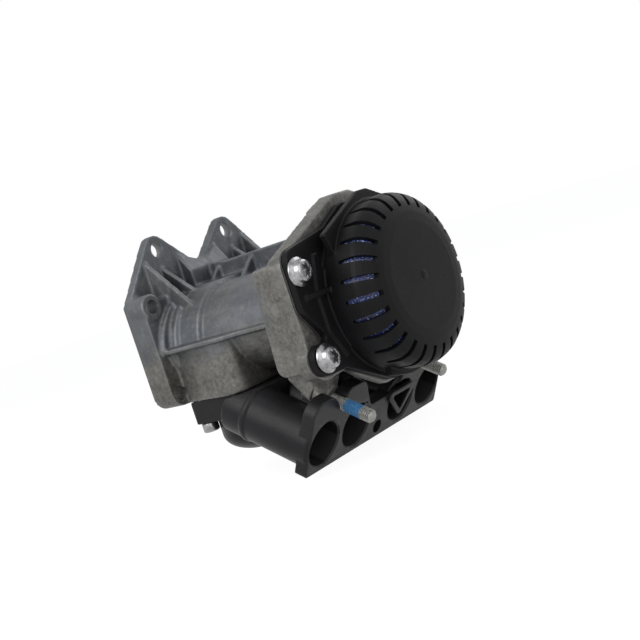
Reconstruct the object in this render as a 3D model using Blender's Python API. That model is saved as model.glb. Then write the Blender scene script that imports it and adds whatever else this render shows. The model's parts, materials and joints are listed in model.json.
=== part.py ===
"""Foot control valve: die-cast body, slotted silencer cap, four-port manifold and inner parts.

Frame: metres, +Z towards the two mounting ears, +X along the main bore from the mounting
flange to the silencer cap. The origin is on the bore's axis in the flange's front plane.
Everything is symmetric about the XZ plane, apart from the two studs.
"""

import math

import bmesh
import bpy
from mathutils import Matrix, Vector

MM = 0.001

# Gaps between pieces that touch, and between pieces that slide
SEAT_GAP = 0.3 * MM
RUN_GAP = 0.3 * MM
OVERLAP = 1.0 * MM

# Ports of the manifold; their places across the valve follow from their bore
PORT_RADIUS = 13.5 * MM
PORT_BRIDGE = 5.0 * MM
PORT_MIDDLE = 10.5 * MM
PORT_RIM = 1.3 * MM
PORT_WALL = 3.2 * MM
PORT_DEPTH = 34.0 * MM
PORT_TILT = math.radians(31.6)
PORT_INNER_Y = PORT_MIDDLE + PORT_RADIUS
PORT_OUTER_Y = PORT_INNER_Y + 2 * PORT_RADIUS + PORT_BRIDGE
PORT_PAIR_Y = (PORT_INNER_Y + PORT_OUTER_Y) / 2
PORT_YS = (-PORT_OUTER_Y, -PORT_INNER_Y, PORT_INNER_Y, PORT_OUTER_Y)
FEED_RADIUS = 8.5 * MM
FEED_DEPTH = 10.0 * MM

# Tilted port plate, its raised lobes and the studs
PORT_PLATE = 8.0 * MM
PORT_PLATE_HALF = PORT_OUTER_Y + PORT_RADIUS + PORT_RIM
PORT_PLATE_DROP = PORT_RADIUS + 3.5 * MM
PORT_LOBE_RISE = PORT_RADIUS + 15.5 * MM
RIGHT_LOBE_RISE = PORT_LOBE_RISE + 3.0 * MM
STUD_LEFT_OUT = 1.5 * MM
STUD_RIGHT_IN = 3.8 * MM
STUD_LEFT_UP = PORT_RADIUS + 6.8 * MM
STUD_RIGHT_UP = PORT_RADIUS + 10.2 * MM
STUDS = (("stud_left", -PORT_PAIR_Y - STUD_LEFT_OUT, STUD_LEFT_UP),
         ("stud_right", PORT_PAIR_Y - STUD_RIGHT_IN, STUD_RIGHT_UP))
STUD_RADIUS = 3.9 * MM
STUD_PROUD = 20.0 * MM
STUD_GRIP = 14.0 * MM
STUD_BOSS_R = 7.6 * MM
STUD_BOSS_EXTRA = 3.0 * MM

# Mounting flange, as wide as the port plate, and its ears
UNDERSIDE = -33.5 * MM
FLANGE_INSET = 1.6 * MM
FLANGE_HALF_WIDTH = PORT_PLATE_HALF - FLANGE_INSET
FLANGE_TOP = 31.5 * MM
FLANGE_DEPTH = 17.0 * MM
FLANGE_CORNER = 9.0 * MM
EAR_DEPTH = 6.5 * MM
EAR_Y = 32.8 * MM
EAR_HOLE_Z = 60.6 * MM
EAR_HOLE_R = 4.8 * MM
EAR_RADIUS = 9.2 * MM
EAR_SLOPE = math.radians(48.9)
EAR_VALLEY = 48.5 * MM
EAR_VALLEY_HALF = 5.25 * MM
MOUNT_HOLE_R = 4.5 * MM
SIDE_HOLE_Y = FLANGE_HALF_WIDTH - 6.9 * MM
SIDE_HOLE_TOP = 28.8 * MM
SIDE_HOLE_BOTTOM = UNDERSIDE + 8.0 * MM
BOSS_RADIUS = 8.0 * MM
BOSS_PROUD = 1.0 * MM
POCKET_INNER = 33.0 * MM
POCKET_OUTER = 53.0 * MM
POCKET_HALF_HEIGHT = 22.0 * MM
POCKET_DEPTH = 12.0 * MM
POCKET_CORNER = 4.0 * MM

# Body of the casting, with the stepped neck behind the flange
BODY_HALF_WIDTH = 56.5 * MM
BODY_TOP = 29.0 * MM
BODY_CORNER = 35.0 * MM
BODY_PARTING_EDGE = 0.5 * MM
NECK_RISE = 2.5 * MM
NECK_STEP_RUN = 1.5 * MM
FOOT_END = FLANGE_DEPTH + 2.5 * MM
FOOT_HALF = BODY_HALF_WIDTH + 10.5 * MM
FOOT_LOWER = 0.93
NECK_END = FLANGE_DEPTH + 8.0 * MM
NECK_HALF = BODY_HALF_WIDTH + 5.0 * MM
NECK_LOWER = 0.97
COLLAR_END = FLANGE_DEPTH + 24.5 * MM
COLLAR_HALF = BODY_HALF_WIDTH + 2.7 * MM
SHOULDER_RUN = 3.0 * MM
PARTING_RIB = 3.0 * MM
PARTING_PROUD = 3.5 * MM
PARTING_FOOT = 1.2 * MM
BLOCK_END = 66.0 * MM
BLOCK_NEAR = BODY_HALF_WIDTH + 1.0 * MM
BLOCK_BULGE = 5.5 * MM
BLOCK_BEND = 30.0 * MM
BLOCK_CORNER = 15.0 * MM
RIDGE_TOP = 42.0 * MM
RIDGE_WIDTH = 4.0 * MM
RIB_WIDTH = 3.0 * MM
RIB_FOOT = 10.0 * MM
LONG_RIB_Y = EAR_Y + 13.2 * MM
MIDDLE_RIB_Y = EAR_Y + 0.9 * MM
PAD_HALF = EAR_Y - 14.5 * MM
PAD_TOP = EAR_HOLE_Z - 5.6 * MM
PAD_BACK = EAR_DEPTH + 8.2 * MM
PAD_SHELF = 42.3 * MM
CROSS_GUSSETS = (22.0 * MM, 51.0 * MM, 80.0 * MM)
CROSS_REACH = 15.0 * MM

# Bores across the main axis
MAIN_BORE = 24.0 * MM
BUSH_BORE = MAIN_BORE + 4.0 * MM
BUSH_BORE_DEPTH = 17.3 * MM
CARRIER_BORE = MAIN_BORE + 3.0 * MM
CARRIER_RIM_BORE = CARRIER_BORE + 6.0 * MM

# Plunger and its guide
PLUNGER_RADIUS = 15.0 * MM
PLUNGER_COLLAR_R = PLUNGER_RADIUS + 4.0 * MM
PLUNGER_COLLAR = 3.7 * MM
PLUNGER_BORE_R = 9.0 * MM
PLUNGER_CROWN = 8.0 * MM
PLUNGER_EDGE = 1.0 * MM
BUSH_START = 3.0 * MM
BUSH_RECESS = 3.3 * MM
WIPER_RADIUS = PLUNGER_RADIUS + 4.0 * MM
SEAT_RADIUS = MAIN_BORE - 4.0 * MM
SEAT_THICK = 2.0 * MM
SNAP_RING = 1.3 * MM
SNAP_GROOVE = 1.2 * MM
SNAP_GAP_ANGLE = math.radians(24.0)
FRONT_RING_DEPTH = 5.0 * MM
REAR_RING_DEPTH = 6.0 * MM

# Inner parts along the main axis, each from the one before it
GRADUATING_LENGTH = 16.1 * MM
PISTON_LENGTH = 10.0 * MM
PRIMARY_RETURN = 14.0 * MM
DIVIDER_LENGTH = 16.0 * MM
RELAY_SPACE = 6.0 * MM
RELAY_RETURN = 12.0 * MM
CARRIER_BODY = 13.0 * MM
CARRIER_RIM_DEPTH = 9.0 * MM
PRIMARY_START = (BUSH_BORE_DEPTH + PLUNGER_COLLAR + SEAT_GAP + SEAT_THICK + SEAT_GAP + GRADUATING_LENGTH
                 + SEAT_GAP)
DIVIDER_START = PRIMARY_START + PISTON_LENGTH + PRIMARY_RETURN
RELAY_START = DIVIDER_START + DIVIDER_LENGTH + RELAY_SPACE
CARRIER_START = RELAY_START + PISTON_LENGTH + RELAY_RETURN
CARRIER_RIM_START = CARRIER_START + CARRIER_BODY

# Pistons
NOSE_RADIUS = 7.0 * MM
NOSE_BORE = 3.0 * MM
NOSE_REACH = 1.3 * MM
PRIMARY_RECESS = 1.0 * MM
RELAY_RECESS_R = 7.0 * MM
RELAY_RECESS = 4.0 * MM
SEAL_GROOVE = 3.0 * MM
SEAL_DEPTH = 2.5 * MM
SEAL_WIRE = 1.0 * MM

# Valve cartridges
SEAT_WALL = 3.0 * MM
SEAT_HOLE_R = 9.0 * MM
CHAMBER_RADIUS = MAIN_BORE - 6.0 * MM
VALVE_HEAD_R = SEAT_HOLE_R + 2.0 * MM
VALVE_HEAD = 2.5 * MM
VALVE_STEM_R = 5.0 * MM
VALVE_BORE_R = NOSE_BORE
PRIMARY_STEM = 14.2 * MM
SECONDARY_STEM = 10.2 * MM
RETAINER_THICK = 2.5 * MM
RETAINER_INSET = 0.5 * MM
CARRIER_RIM = 3.0 * MM
FLAP_INNER = 7.5 * MM
FLAP_OUTER = CARRIER_RIM_BORE - 4.0 * MM
FLAP_THICK = 1.2 * MM

# Springs: mean radius, wire radius, turns
GRADUATING_SPRING = (PLUNGER_BORE_R + 5.0 * MM, 1.2 * MM, 3)
RETURN_SPRING = (MAIN_BORE - 6.0 * MM, 0.9 * MM, 3)
VALVE_SPRING = (VALVE_STEM_R + 3.0 * MM, 0.6 * MM, 2)

# Silencer cap
CAP_GASKET = 1.0 * MM
CAP_PLATE = 4.0 * MM
CAP_DEPTH = 36.1 * MM
DRUM_RADIUS = 50.0 * MM
DRUM_WALL = 2.5 * MM
DRUM_CROWN = 12.0 * MM
DRUM_BAND = 1.5 * MM
NECK_STEP = 1.0 * MM
CAP_SCREW_Y = DRUM_RADIUS + 16.0 * MM
CAP_SCREW_Z = 24.0 * MM
CAP_LUG_R = 9.2 * MM
CAP_SCREW_R = 3.9 * MM
CAP_SCREW_HEAD_R = 8.2 * MM
CAP_SCREW_HEAD = 6.0 * MM
CAP_SCREW_LENGTH = 19.0 * MM
CAP_RIB_LOW = 7.8 * MM
LIP_SETBACK = 9.4 * MM
LIP_THICK = 4.0 * MM
LIP_PEAK = DRUM_RADIUS + 5.9 * MM
LIP_PEAK_HALF = 4.0 * MM
LIP_FOOT = DRUM_RADIUS - 4.0 * MM
SLOT_COUNT = 28
SLOT_WIDTH = 2.6 * MM
SLOT_SETBACK = 2.0 * MM
SLOT_DEPTH = 10.0 * MM
SLOT_INNER_R = DRUM_RADIUS - SLOT_DEPTH
NUB_RADIUS = 2.5 * MM
NUB_PROUD = 0.5 * MM
FILTER_WALL = 4.0 * MM
FILTER_SETBACK = 1.4 * MM
FILTER_MOUTH = 30.0 * MM

# Rear flange of the casting, as wide as the cap's screws need
REAR_FACE = CARRIER_RIM_START + CARRIER_RIM_DEPTH
REAR_THICK = 10.0 * MM
REAR_PLATE = REAR_FACE - REAR_THICK
REAR_HALF_WIDTH = CAP_SCREW_Y + 5.5 * MM
REAR_PEAK = DRUM_RADIUS + 8.6 * MM
REAR_PEAK_HALF = 8.5 * MM
REAR_LUG_R = 12.6 * MM
REAR_LUG_IN = 6.0 * MM
RECESS_DEPTH = 5.0 * MM
RECESS_RIM = 4.2 * MM
STEP_IN = 0.5 * MM
STEP_TOP = 31.5 * MM
STEP_BOTTOM = UNDERSIDE + 4.0 * MM
STEP_TOP_RUN = 12.5 * MM
STEP_BOTTOM_RUN = 16.5 * MM
TOP_LUG_RUN = 5.0 * MM
SKIRT_GAP = 0.4 * MM
GABLE_ANGLE = math.radians(22.4)

# Top plate, bowls and bolts of the manifold
TUBE_LENGTH = 62.0 * MM
TOP_PLATE_HEIGHT = 14.0 * MM
TOP_PLATE_HALF = BLOCK_NEAR + 1.0 * MM
TOP_PLATE_REACH = 12.0 * MM
BOWL_X = 46.0 * MM
BOWL_RADIUS = 24.5 * MM
BOWL_Y = TOP_PLATE_HALF - BOWL_RADIUS
BOWL_WALL = 24.2 * MM
BOWL_DOME = 14.0 * MM
FEED_BORE = 9.0 * MM
BODY_FEED_TOP = -8.0 * MM
BOLT_X = FLANGE_DEPTH + 7.0 * MM
BOLT_Y = BLOCK_NEAR - 3.5 * MM
MANIFOLD_BOLTS = ((BOLT_X, -BOLT_Y, 14.0 * MM), (BOLT_X, BOLT_Y, 14.0 * MM), (BLOCK_END - 8.0 * MM, 0.0, 7.5 * MM))
MANIFOLD_BOLT_R = 3.0 * MM
MANIFOLD_BOLT_HEAD_R = 5.0 * MM
MANIFOLD_BOLT_HEAD = 5.5 * MM
HEAD_ROOM = 1.2 * MM

# Facets of round pieces
LARGE_ROUND = 24
SMALL_ROUND = 16
PORT_ROUND = 22
SEAL_ROUND = 18
SEAL_SIDES = 5
SPRING_STEPS = 9
SPRING_SIDES = 4
SMOOTH_ANGLE = math.radians(32.0)

# Planes and centres that follow from the sizes above
PORT_CENTRE_X = REAR_FACE - 22.6 * MM
PORT_CENTRE_Z = UNDERSIDE - 39.1 * MM
PORT_NORMAL = Vector((math.cos(PORT_TILT), 0.0, -math.sin(PORT_TILT)))
PORT_UP = Vector((math.sin(PORT_TILT), 0.0, math.cos(PORT_TILT)))
PORT_CENTRE = Vector((PORT_CENTRE_X, 0.0, PORT_CENTRE_Z))
LOBE_TOP_X = PORT_CENTRE_X + RIGHT_LOBE_RISE * math.sin(PORT_TILT)
CAP_BACK = REAR_FACE + SEAT_GAP + CAP_GASKET + SEAT_GAP
CAP_FRONT = CAP_BACK + CAP_DEPTH
LIP_START = CAP_BACK + LIP_SETBACK
LIP_END = LIP_START + LIP_THICK
SLOT_START = LIP_END + SLOT_SETBACK
FILTER_START = CAP_BACK + FILTER_SETBACK
MANIFOLD_TOP = UNDERSIDE - SEAT_GAP
BOWL_WALL_BOTTOM = MANIFOLD_TOP - BOWL_WALL
BOWL_BOTTOM = BOWL_WALL_BOTTOM - BOWL_DOME



def clear_scene():
    """Remove every object of the scene."""
    for item in list(bpy.data.objects):
        bpy.data.objects.remove(item, do_unlink=True)


def make_material(name, colour, roughness, metallic):
    """A Principled material with one colour."""
    material = bpy.data.materials.new(name)
    material.use_nodes = True
    shader = material.node_tree.nodes["Principled BSDF"]
    shader.inputs["Base Color"].default_value = (*colour, 1.0)
    shader.inputs["Roughness"].default_value = roughness
    shader.inputs["Metallic"].default_value = metallic
    return material


FINISHES = {
    "casting": ((0.40, 0.42, 0.43), 0.55, 0.9),
    "cap": ((0.022, 0.022, 0.025), 0.45, 0.0),
    "manifold": ((0.045, 0.045, 0.050), 0.50, 0.0),
    "zinc": ((0.72, 0.72, 0.74), 0.30, 1.0),
    "steel": ((0.50, 0.50, 0.50), 0.38, 1.0),
    "brass": ((0.72, 0.56, 0.28), 0.35, 1.0),
    "rubber": ((0.02, 0.02, 0.02), 0.85, 0.0),
    "filter": ((0.03, 0.08, 0.45), 0.80, 0.0),
    "piston": ((0.55, 0.57, 0.60), 0.35, 0.9),
    "valve": ((0.10, 0.10, 0.11), 0.55, 0.0),
}


def finish_object(name, mesh_builder, finish):
    """Turn a bmesh into a named, shaded object of the scene."""
    bmesh.ops.remove_doubles(mesh_builder, verts=mesh_builder.verts, dist=1e-7)
    bmesh.ops.recalc_face_normals(mesh_builder, faces=mesh_builder.faces)
    mesh = bpy.data.meshes.new(name)
    mesh_builder.to_mesh(mesh)
    mesh_builder.free()
    mesh.shade_smooth()
    mesh.set_sharp_from_angle(angle=SMOOTH_ANGLE)
    item = bpy.data.objects.new(name, mesh)
    bpy.context.scene.collection.objects.link(item)
    if finish:
        mesh.materials.append(make_material(name, *FINISHES[finish]))
    return item


def as_tool(item):
    """Mark an object as a boolean operand, which isn't a piece of the valve."""
    item.hide_render = True
    item.display_type = "WIRE"
    return item


def combine(target, tool, operation):
    """Add one exact boolean to the target."""
    as_tool(tool)
    modifier = target.modifiers.new(tool.name, "BOOLEAN")
    modifier.operation = operation
    modifier.solver = "EXACT"
    modifier.object = tool


def add(target, *tools):
    """Fuse tools into the target."""
    for tool in tools:
        combine(target, tool, "UNION")


def cut(target, *tools):
    """Cut tools out of the target."""
    for tool in tools:
        combine(target, tool, "DIFFERENCE")


def loft(name, sections, finish=None):
    """Solid through sections, each a list of points with the same count."""
    builder = bmesh.new()
    rings = [[builder.verts.new(point) for point in section] for section in sections]
    count = len(rings[0])
    for low, high in zip(rings, rings[1:]):
        for index in range(count):
            following = (index + 1) % count
            builder.faces.new((low[index], low[following], high[following], high[index]))
    builder.faces.new(list(reversed(rings[0])))
    builder.faces.new(rings[-1])
    return finish_object(name, builder, finish)


def prism_x(name, outline, low, high, finish=None):
    """Extrude a (y, z) outline along X."""
    return loft(name, [[(x, y, z) for y, z in outline] for x in (low, high)], finish)


def prism_y(name, outline, middle, width, finish=None):
    """Extrude an (x, z) outline along Y, centred on a Y value."""
    sides = (middle - width / 2, middle + width / 2)
    return loft(name, [[(x, y, z) for x, z in outline] for y in sides], finish)


def prism_z(name, outline, low, high, finish=None):
    """Extrude an (x, y) outline along Z."""
    return loft(name, [[(x, y, z) for x, y in outline] for z in (low, high)], finish)


def port_point(behind, across, up):
    """Point given by its depth behind the port face, its Y and its height over the port line."""
    return PORT_CENTRE - PORT_NORMAL * behind + PORT_UP * up + Vector((0.0, across, 0.0))


def prism_port(name, outline, front, back, finish=None):
    """Extrude a (y, up) outline square to the port face, between two depths."""
    sections = [[port_point(depth, y, up) for y, up in outline] for depth in (front, back)]
    return loft(name, sections, finish)


def turned(name, profile, segments=LARGE_ROUND, finish=None):
    """Turn an (x, radius) profile about the X axis; it is closed by flat discs at radius 0."""
    builder = bmesh.new()
    angles = [2 * math.pi * step / segments for step in range(segments)]
    rings = []
    for x, radius in profile:
        ring = [builder.verts.new((x, radius * math.cos(a), radius * math.sin(a))) for a in angles if radius > 0.0]
        rings.append(ring)
    for ring, following in zip(rings, rings[1:] + rings[:1]):
        if not ring or not following:
            if ring or following:
                builder.faces.new(ring or following)
            continue
        for step in range(segments):
            corner = (step + 1) % segments
            builder.faces.new((ring[step], ring[corner], following[corner], following[step]))
    return finish_object(name, builder, finish)


def rod(name, radius, low, high, segments=SMALL_ROUND, finish=None):
    """Cylinder on the X axis."""
    return turned(name, [(low, 0.0), (low, radius), (high, radius), (high, 0.0)], segments, finish)


def place(item, location, tilt=0.0):
    """Move an object and tilt its X axis downwards about Y."""
    item.location = location
    item.rotation_euler = (0.0, tilt, 0.0)
    return item


def washer(name, inner, outer, low, high, segments=LARGE_ROUND, finish=None):
    """Flat ring on the X axis."""
    profile = [(low, inner), (low, outer), (high, outer), (high, inner)]
    return turned(name, profile, segments, finish)


def torus(name, radius, wire, middle, finish="rubber"):
    """Round seal on the X axis."""
    sides = [2 * math.pi * step / SEAL_SIDES for step in range(SEAL_SIDES)]
    profile = [(middle + wire * math.cos(a), radius + wire * math.sin(a)) for a in sides]
    return turned(name, profile, SEAL_ROUND, finish)


def arc(centre, radius, start, end, steps):
    """Points on an arc, angles in degrees."""
    span = [math.radians(start + (end - start) * step / steps) for step in range(steps + 1)]
    return [(centre[0] + radius * math.cos(a), centre[1] + radius * math.sin(a)) for a in span]


def rounded(corners, steps=3):
    """Outline through (a, b, radius) corners, each rounded by its radius."""
    outline = []
    count = len(corners)
    for index, (a, b, radius) in enumerate(corners):
        here = Vector((a, b))
        if radius <= 0.0:
            outline.append((a, b))
            continue
        before = Vector(corners[index - 1][:2]) - here
        after = Vector(corners[(index + 1) % count][:2]) - here
        half = before.angle(after) / 2
        reach = min(radius / math.tan(half), before.length * 0.49, after.length * 0.49)
        radius = reach * math.tan(half)
        centre = here + (before.normalized() + after.normalized()).normalized() * radius / math.sin(half)
        start = here + before.normalized() * reach - centre
        end = here + after.normalized() * reach - centre
        first = math.atan2(start.y, start.x)
        turn = math.atan2(end.y, end.x) - first
        turn = (turn + math.pi) % (2 * math.pi) - math.pi
        for step in range(steps + 1):
            angle = first + turn * step / steps
            outline.append((centre.x + radius * math.cos(angle), centre.y + radius * math.sin(angle)))
    return outline


def mirrored(corners):
    """Close a right half outline, given from top to bottom, with its mirror image."""
    return corners + [(-a, b, radius) for a, b, radius in reversed(corners)]


def circle(centre, radius, segments=SMALL_ROUND):
    """Points of a full circle."""
    return arc(centre, radius, 0, 360 - 360 / segments, segments - 1)


def coil(name, spring, low, high, finish="steel"):
    """Round wire spring on the X axis between two planes."""
    radius, wire, turns = spring
    builder = bmesh.new()
    steps = turns * SPRING_STEPS
    rise = high - low - 2 * wire
    rings = []
    for step in range(steps + 1):
        angle = 2 * math.pi * step / SPRING_STEPS
        outward = Vector((0.0, math.cos(angle), math.sin(angle)))
        centre = Vector((low + wire + rise * step / steps, 0.0, 0.0)) + outward * radius
        sides = [2 * math.pi * side / SPRING_SIDES for side in range(SPRING_SIDES)]
        along = Vector((1.0, 0.0, 0.0))
        rings.append([builder.verts.new(centre + wire * (outward * math.cos(s) + along * math.sin(s)))
                      for s in sides])
    for ring, following in zip(rings, rings[1:]):
        for side in range(SPRING_SIDES):
            corner = (side + 1) % SPRING_SIDES
            builder.faces.new((ring[side], ring[corner], following[corner], following[side]))
    builder.faces.new(list(reversed(rings[0])))
    builder.faces.new(rings[-1])
    return finish_object(name, builder, finish)


def body_section(half_width, rise, lower):
    """Section of the body, widest at the parting plane and narrower by a share below it."""
    radius = BODY_CORNER + rise
    inset = half_width - radius + BODY_PARTING_EDGE
    drop = BODY_TOP - BODY_CORNER
    side = math.degrees(math.asin(-drop / radius))
    upper = arc((inset, drop), radius, side, 90, 7)
    upper += [(-y, z) for y, z in reversed(upper)]
    return upper + [(y * lower, -z) for y, z in reversed(upper)][1:-1]


def gable(half_width, peak, peak_half, eave_radius, bottom, corner):
    """House-shaped outline with sloping shoulders, as (y, z) points."""
    eave = peak - (half_width - peak_half) * math.tan(GABLE_ANGLE)
    right = [(peak_half, peak, 6 * MM), (half_width, eave, eave_radius), (half_width, bottom, corner)]
    return rounded(mirrored(right))


def flange_outline():
    """Front flange with its two ears, as (y, z) points."""
    slope_direction = Vector((math.cos(EAR_SLOPE), -math.sin(EAR_SLOPE)))
    outward = Vector((math.sin(EAR_SLOPE), math.cos(EAR_SLOPE)))
    centre = Vector((EAR_Y, EAR_HOLE_Z))
    top = centre + outward * EAR_RADIUS
    reach = (FLANGE_HALF_WIDTH - top.x) / slope_direction.x
    shoulder = top + slope_direction * reach
    ear = arc(centre, EAR_RADIUS, 138, 41, 7)
    valley = [(EAR_VALLEY_HALF, EAR_VALLEY)]
    right = valley + ear + [(FLANGE_HALF_WIDTH, shoulder.y)]
    lower = [(FLANGE_HALF_WIDTH, UNDERSIDE, FLANGE_CORNER), (-FLANGE_HALF_WIDTH, UNDERSIDE, FLANGE_CORNER),
             (-FLANGE_HALF_WIDTH, 0.0, 0.0), (FLANGE_HALF_WIDTH, 0.0, 0.0)]
    corners = rounded(lower)[:-2]
    return right + corners + [(-y, z) for y, z in reversed(right)]


def thick_outline():
    """Thick lower part of the front flange, as (y, z) points."""
    right = [(FLANGE_HALF_WIDTH, FLANGE_TOP, 0.0), (FLANGE_HALF_WIDTH, UNDERSIDE, FLANGE_CORNER)]
    return rounded(mirrored(right))


def block_outline():
    """Plan of the block under the body, as (x, y) points."""
    start = FLANGE_DEPTH - OVERLAP
    far = BLOCK_NEAR + BLOCK_BULGE
    right = [(start, BLOCK_NEAR, 0.0), (BLOCK_END - BLOCK_CORNER, far, BLOCK_BEND),
             (BLOCK_END, far - 2 * MM, BLOCK_CORNER), (BLOCK_END - 2 * MM, BLOCK_NEAR - 37.5 * MM, 0.0)]
    left = [(x, -y, radius) for x, y, radius in reversed(right)]
    return rounded(right + left)


def ear_ribs():
    """Upright ribs behind the ears, joining them to the neck."""
    back = EAR_DEPTH - OVERLAP
    tall = EAR_HOLE_Z - 4.1 * MM
    low = EAR_HOLE_Z - 10.1 * MM
    long_rib = [(back, tall), (36 * MM, 21.8 * MM), (36 * MM, RIB_FOOT), (back, RIB_FOOT)]
    middle_rib = [(back, low), (30 * MM, 29.2 * MM), (30 * MM, RIB_FOOT), (back, RIB_FOOT)]
    ribs = []
    for label, outline, offset in (("long", long_rib, LONG_RIB_Y), ("middle", middle_rib, MIDDLE_RIB_Y)):
        for side in (-1, 1):
            ribs.append(prism_y(f"rib_{label}_{side}", outline, side * offset, RIB_WIDTH))
    return ribs


def valley_pad():
    """Pad between the ears, with a sloping back that follows the valley of the flange."""
    back = EAR_DEPTH - OVERLAP
    root = BODY_TOP - 5 * MM
    middle_top = EAR_VALLEY - 0.5 * MM
    share = (PAD_TOP - middle_top) / (PAD_TOP - PAD_SHELF)
    middle_x = EAR_DEPTH + (PAD_BACK - EAR_DEPTH) * share
    side = [(back, PAD_TOP), (EAR_DEPTH, PAD_TOP), (PAD_BACK, PAD_SHELF), (PAD_BACK, root), (back, root)]
    middle = [(back, middle_top), (middle_x, middle_top), (PAD_BACK, PAD_SHELF), (PAD_BACK, root), (back, root)]
    places = ((-PAD_HALF, side), (-EAR_VALLEY_HALF, middle), (EAR_VALLEY_HALF, middle), (PAD_HALF, side))
    return loft("valley_pad", [[(x, y, z) for x, z in outline] for y, outline in places])


def ridge_parts():
    """Rib along the top of the body with its cross gussets."""
    root = BODY_TOP - 4 * MM
    back = EAR_DEPTH - OVERLAP
    end = REAR_PLATE + RECESS_DEPTH + OVERLAP
    outline = [(back, root), (back, EAR_VALLEY - 1 * MM), (14 * MM, RIDGE_TOP + 1 * MM), (30 * MM, RIDGE_TOP - 0.5 * MM),
               (REAR_PLATE - 36 * MM, RIDGE_TOP), (end, RIDGE_TOP + 8 * MM), (end, root)]
    parts = [prism_y("ridge", outline, 0.0, RIDGE_WIDTH), valley_pad()]
    side = RIDGE_WIDTH / 2 - 0.5 * MM
    brow = RIDGE_TOP - 1.5 * MM
    eave = BODY_TOP + 0.5 * MM
    gusset = [(side, brow), (-side, brow), (-CROSS_REACH, eave), (-CROSS_REACH, root), (CROSS_REACH, root),
              (CROSS_REACH, eave)]
    for index, x in enumerate(CROSS_GUSSETS):
        parts.append(prism_x(f"cross_gusset_{index}", gusset, x - RIB_WIDTH / 2, x + RIB_WIDTH / 2))
    return parts


def stud_supports():
    """Bosses and webs under the rear flange that hold the studs."""
    parts = []
    face = PORT_PLATE + SEAT_GAP
    for name, across, up in STUDS:
        boss = rod(f"{name}_boss", STUD_BOSS_R, -STUD_GRIP - STUD_BOSS_EXTRA, 0.0)
        parts.append(place(boss, port_point(face, across, up), PORT_TILT))
        nose = port_point(face + 1 * MM, across, up)
        heel = port_point(face + STUD_GRIP, across, up)
        brow = port_point(face + 1 * MM, across, RIGHT_LOBE_RISE + 2 * MM)
        start = REAR_FACE - 34 * MM
        end = REAR_FACE - 3 * MM
        root = UNDERSIDE + 13.5 * MM
        web = [(start, root), (end, root), (end, UNDERSIDE), (brow.x, brow.z), (nose.x, nose.z), (heel.x, heel.z),
               (start, UNDERSIDE)]
        parts.append(prism_y(f"{name}_web", web, across, STUD_BOSS_R * 1.5))
    drops = ((29, 13.5), (29, 1.5), (19, -12.5), (14, -6.5), (11, 13.5))
    outer = [(REAR_FACE - back * MM, UNDERSIDE + up * MM) for back, up in drops]
    for side in (-1, 1):
        parts.append(prism_y(f"side_web_{side}", outer, side * (PORT_OUTER_Y + 4 * MM), RIB_WIDTH))
    return parts


def body_bores():
    """Cutters for the stepped main bore and its ring grooves."""
    bores = [rod("main_bore", MAIN_BORE, BUSH_BORE_DEPTH - OVERLAP, CARRIER_START + OVERLAP, LARGE_ROUND)]
    bores.append(rod("bush_bore", BUSH_BORE, -OVERLAP, BUSH_BORE_DEPTH, LARGE_ROUND))
    bores.append(rod("carrier_bore", CARRIER_BORE, CARRIER_START, CARRIER_RIM_START + OVERLAP, LARGE_ROUND))
    bores.append(rod("rim_bore", CARRIER_RIM_BORE, CARRIER_RIM_START, REAR_FACE + OVERLAP, LARGE_ROUND))
    for label, radius, start in (("front", BUSH_BORE, front_ring_x()), ("rear", CARRIER_RIM_BORE, rear_ring_x())):
        low = start - SEAT_GAP
        high = start + SNAP_RING + SEAT_GAP
        bores.append(rod(f"{label}_groove", radius + SNAP_GROOVE, low, high, LARGE_ROUND))
    return bores


def front_ring_x():
    """Front plane of the ring that holds the guide bush."""
    return BUSH_START - SEAT_GAP - SNAP_RING


def rear_ring_x():
    """Front plane of the ring that holds the exhaust carrier."""
    return CARRIER_RIM_START + SEAT_GAP + CARRIER_RIM + SEAT_GAP + FLAP_THICK + SEAT_GAP


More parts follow.
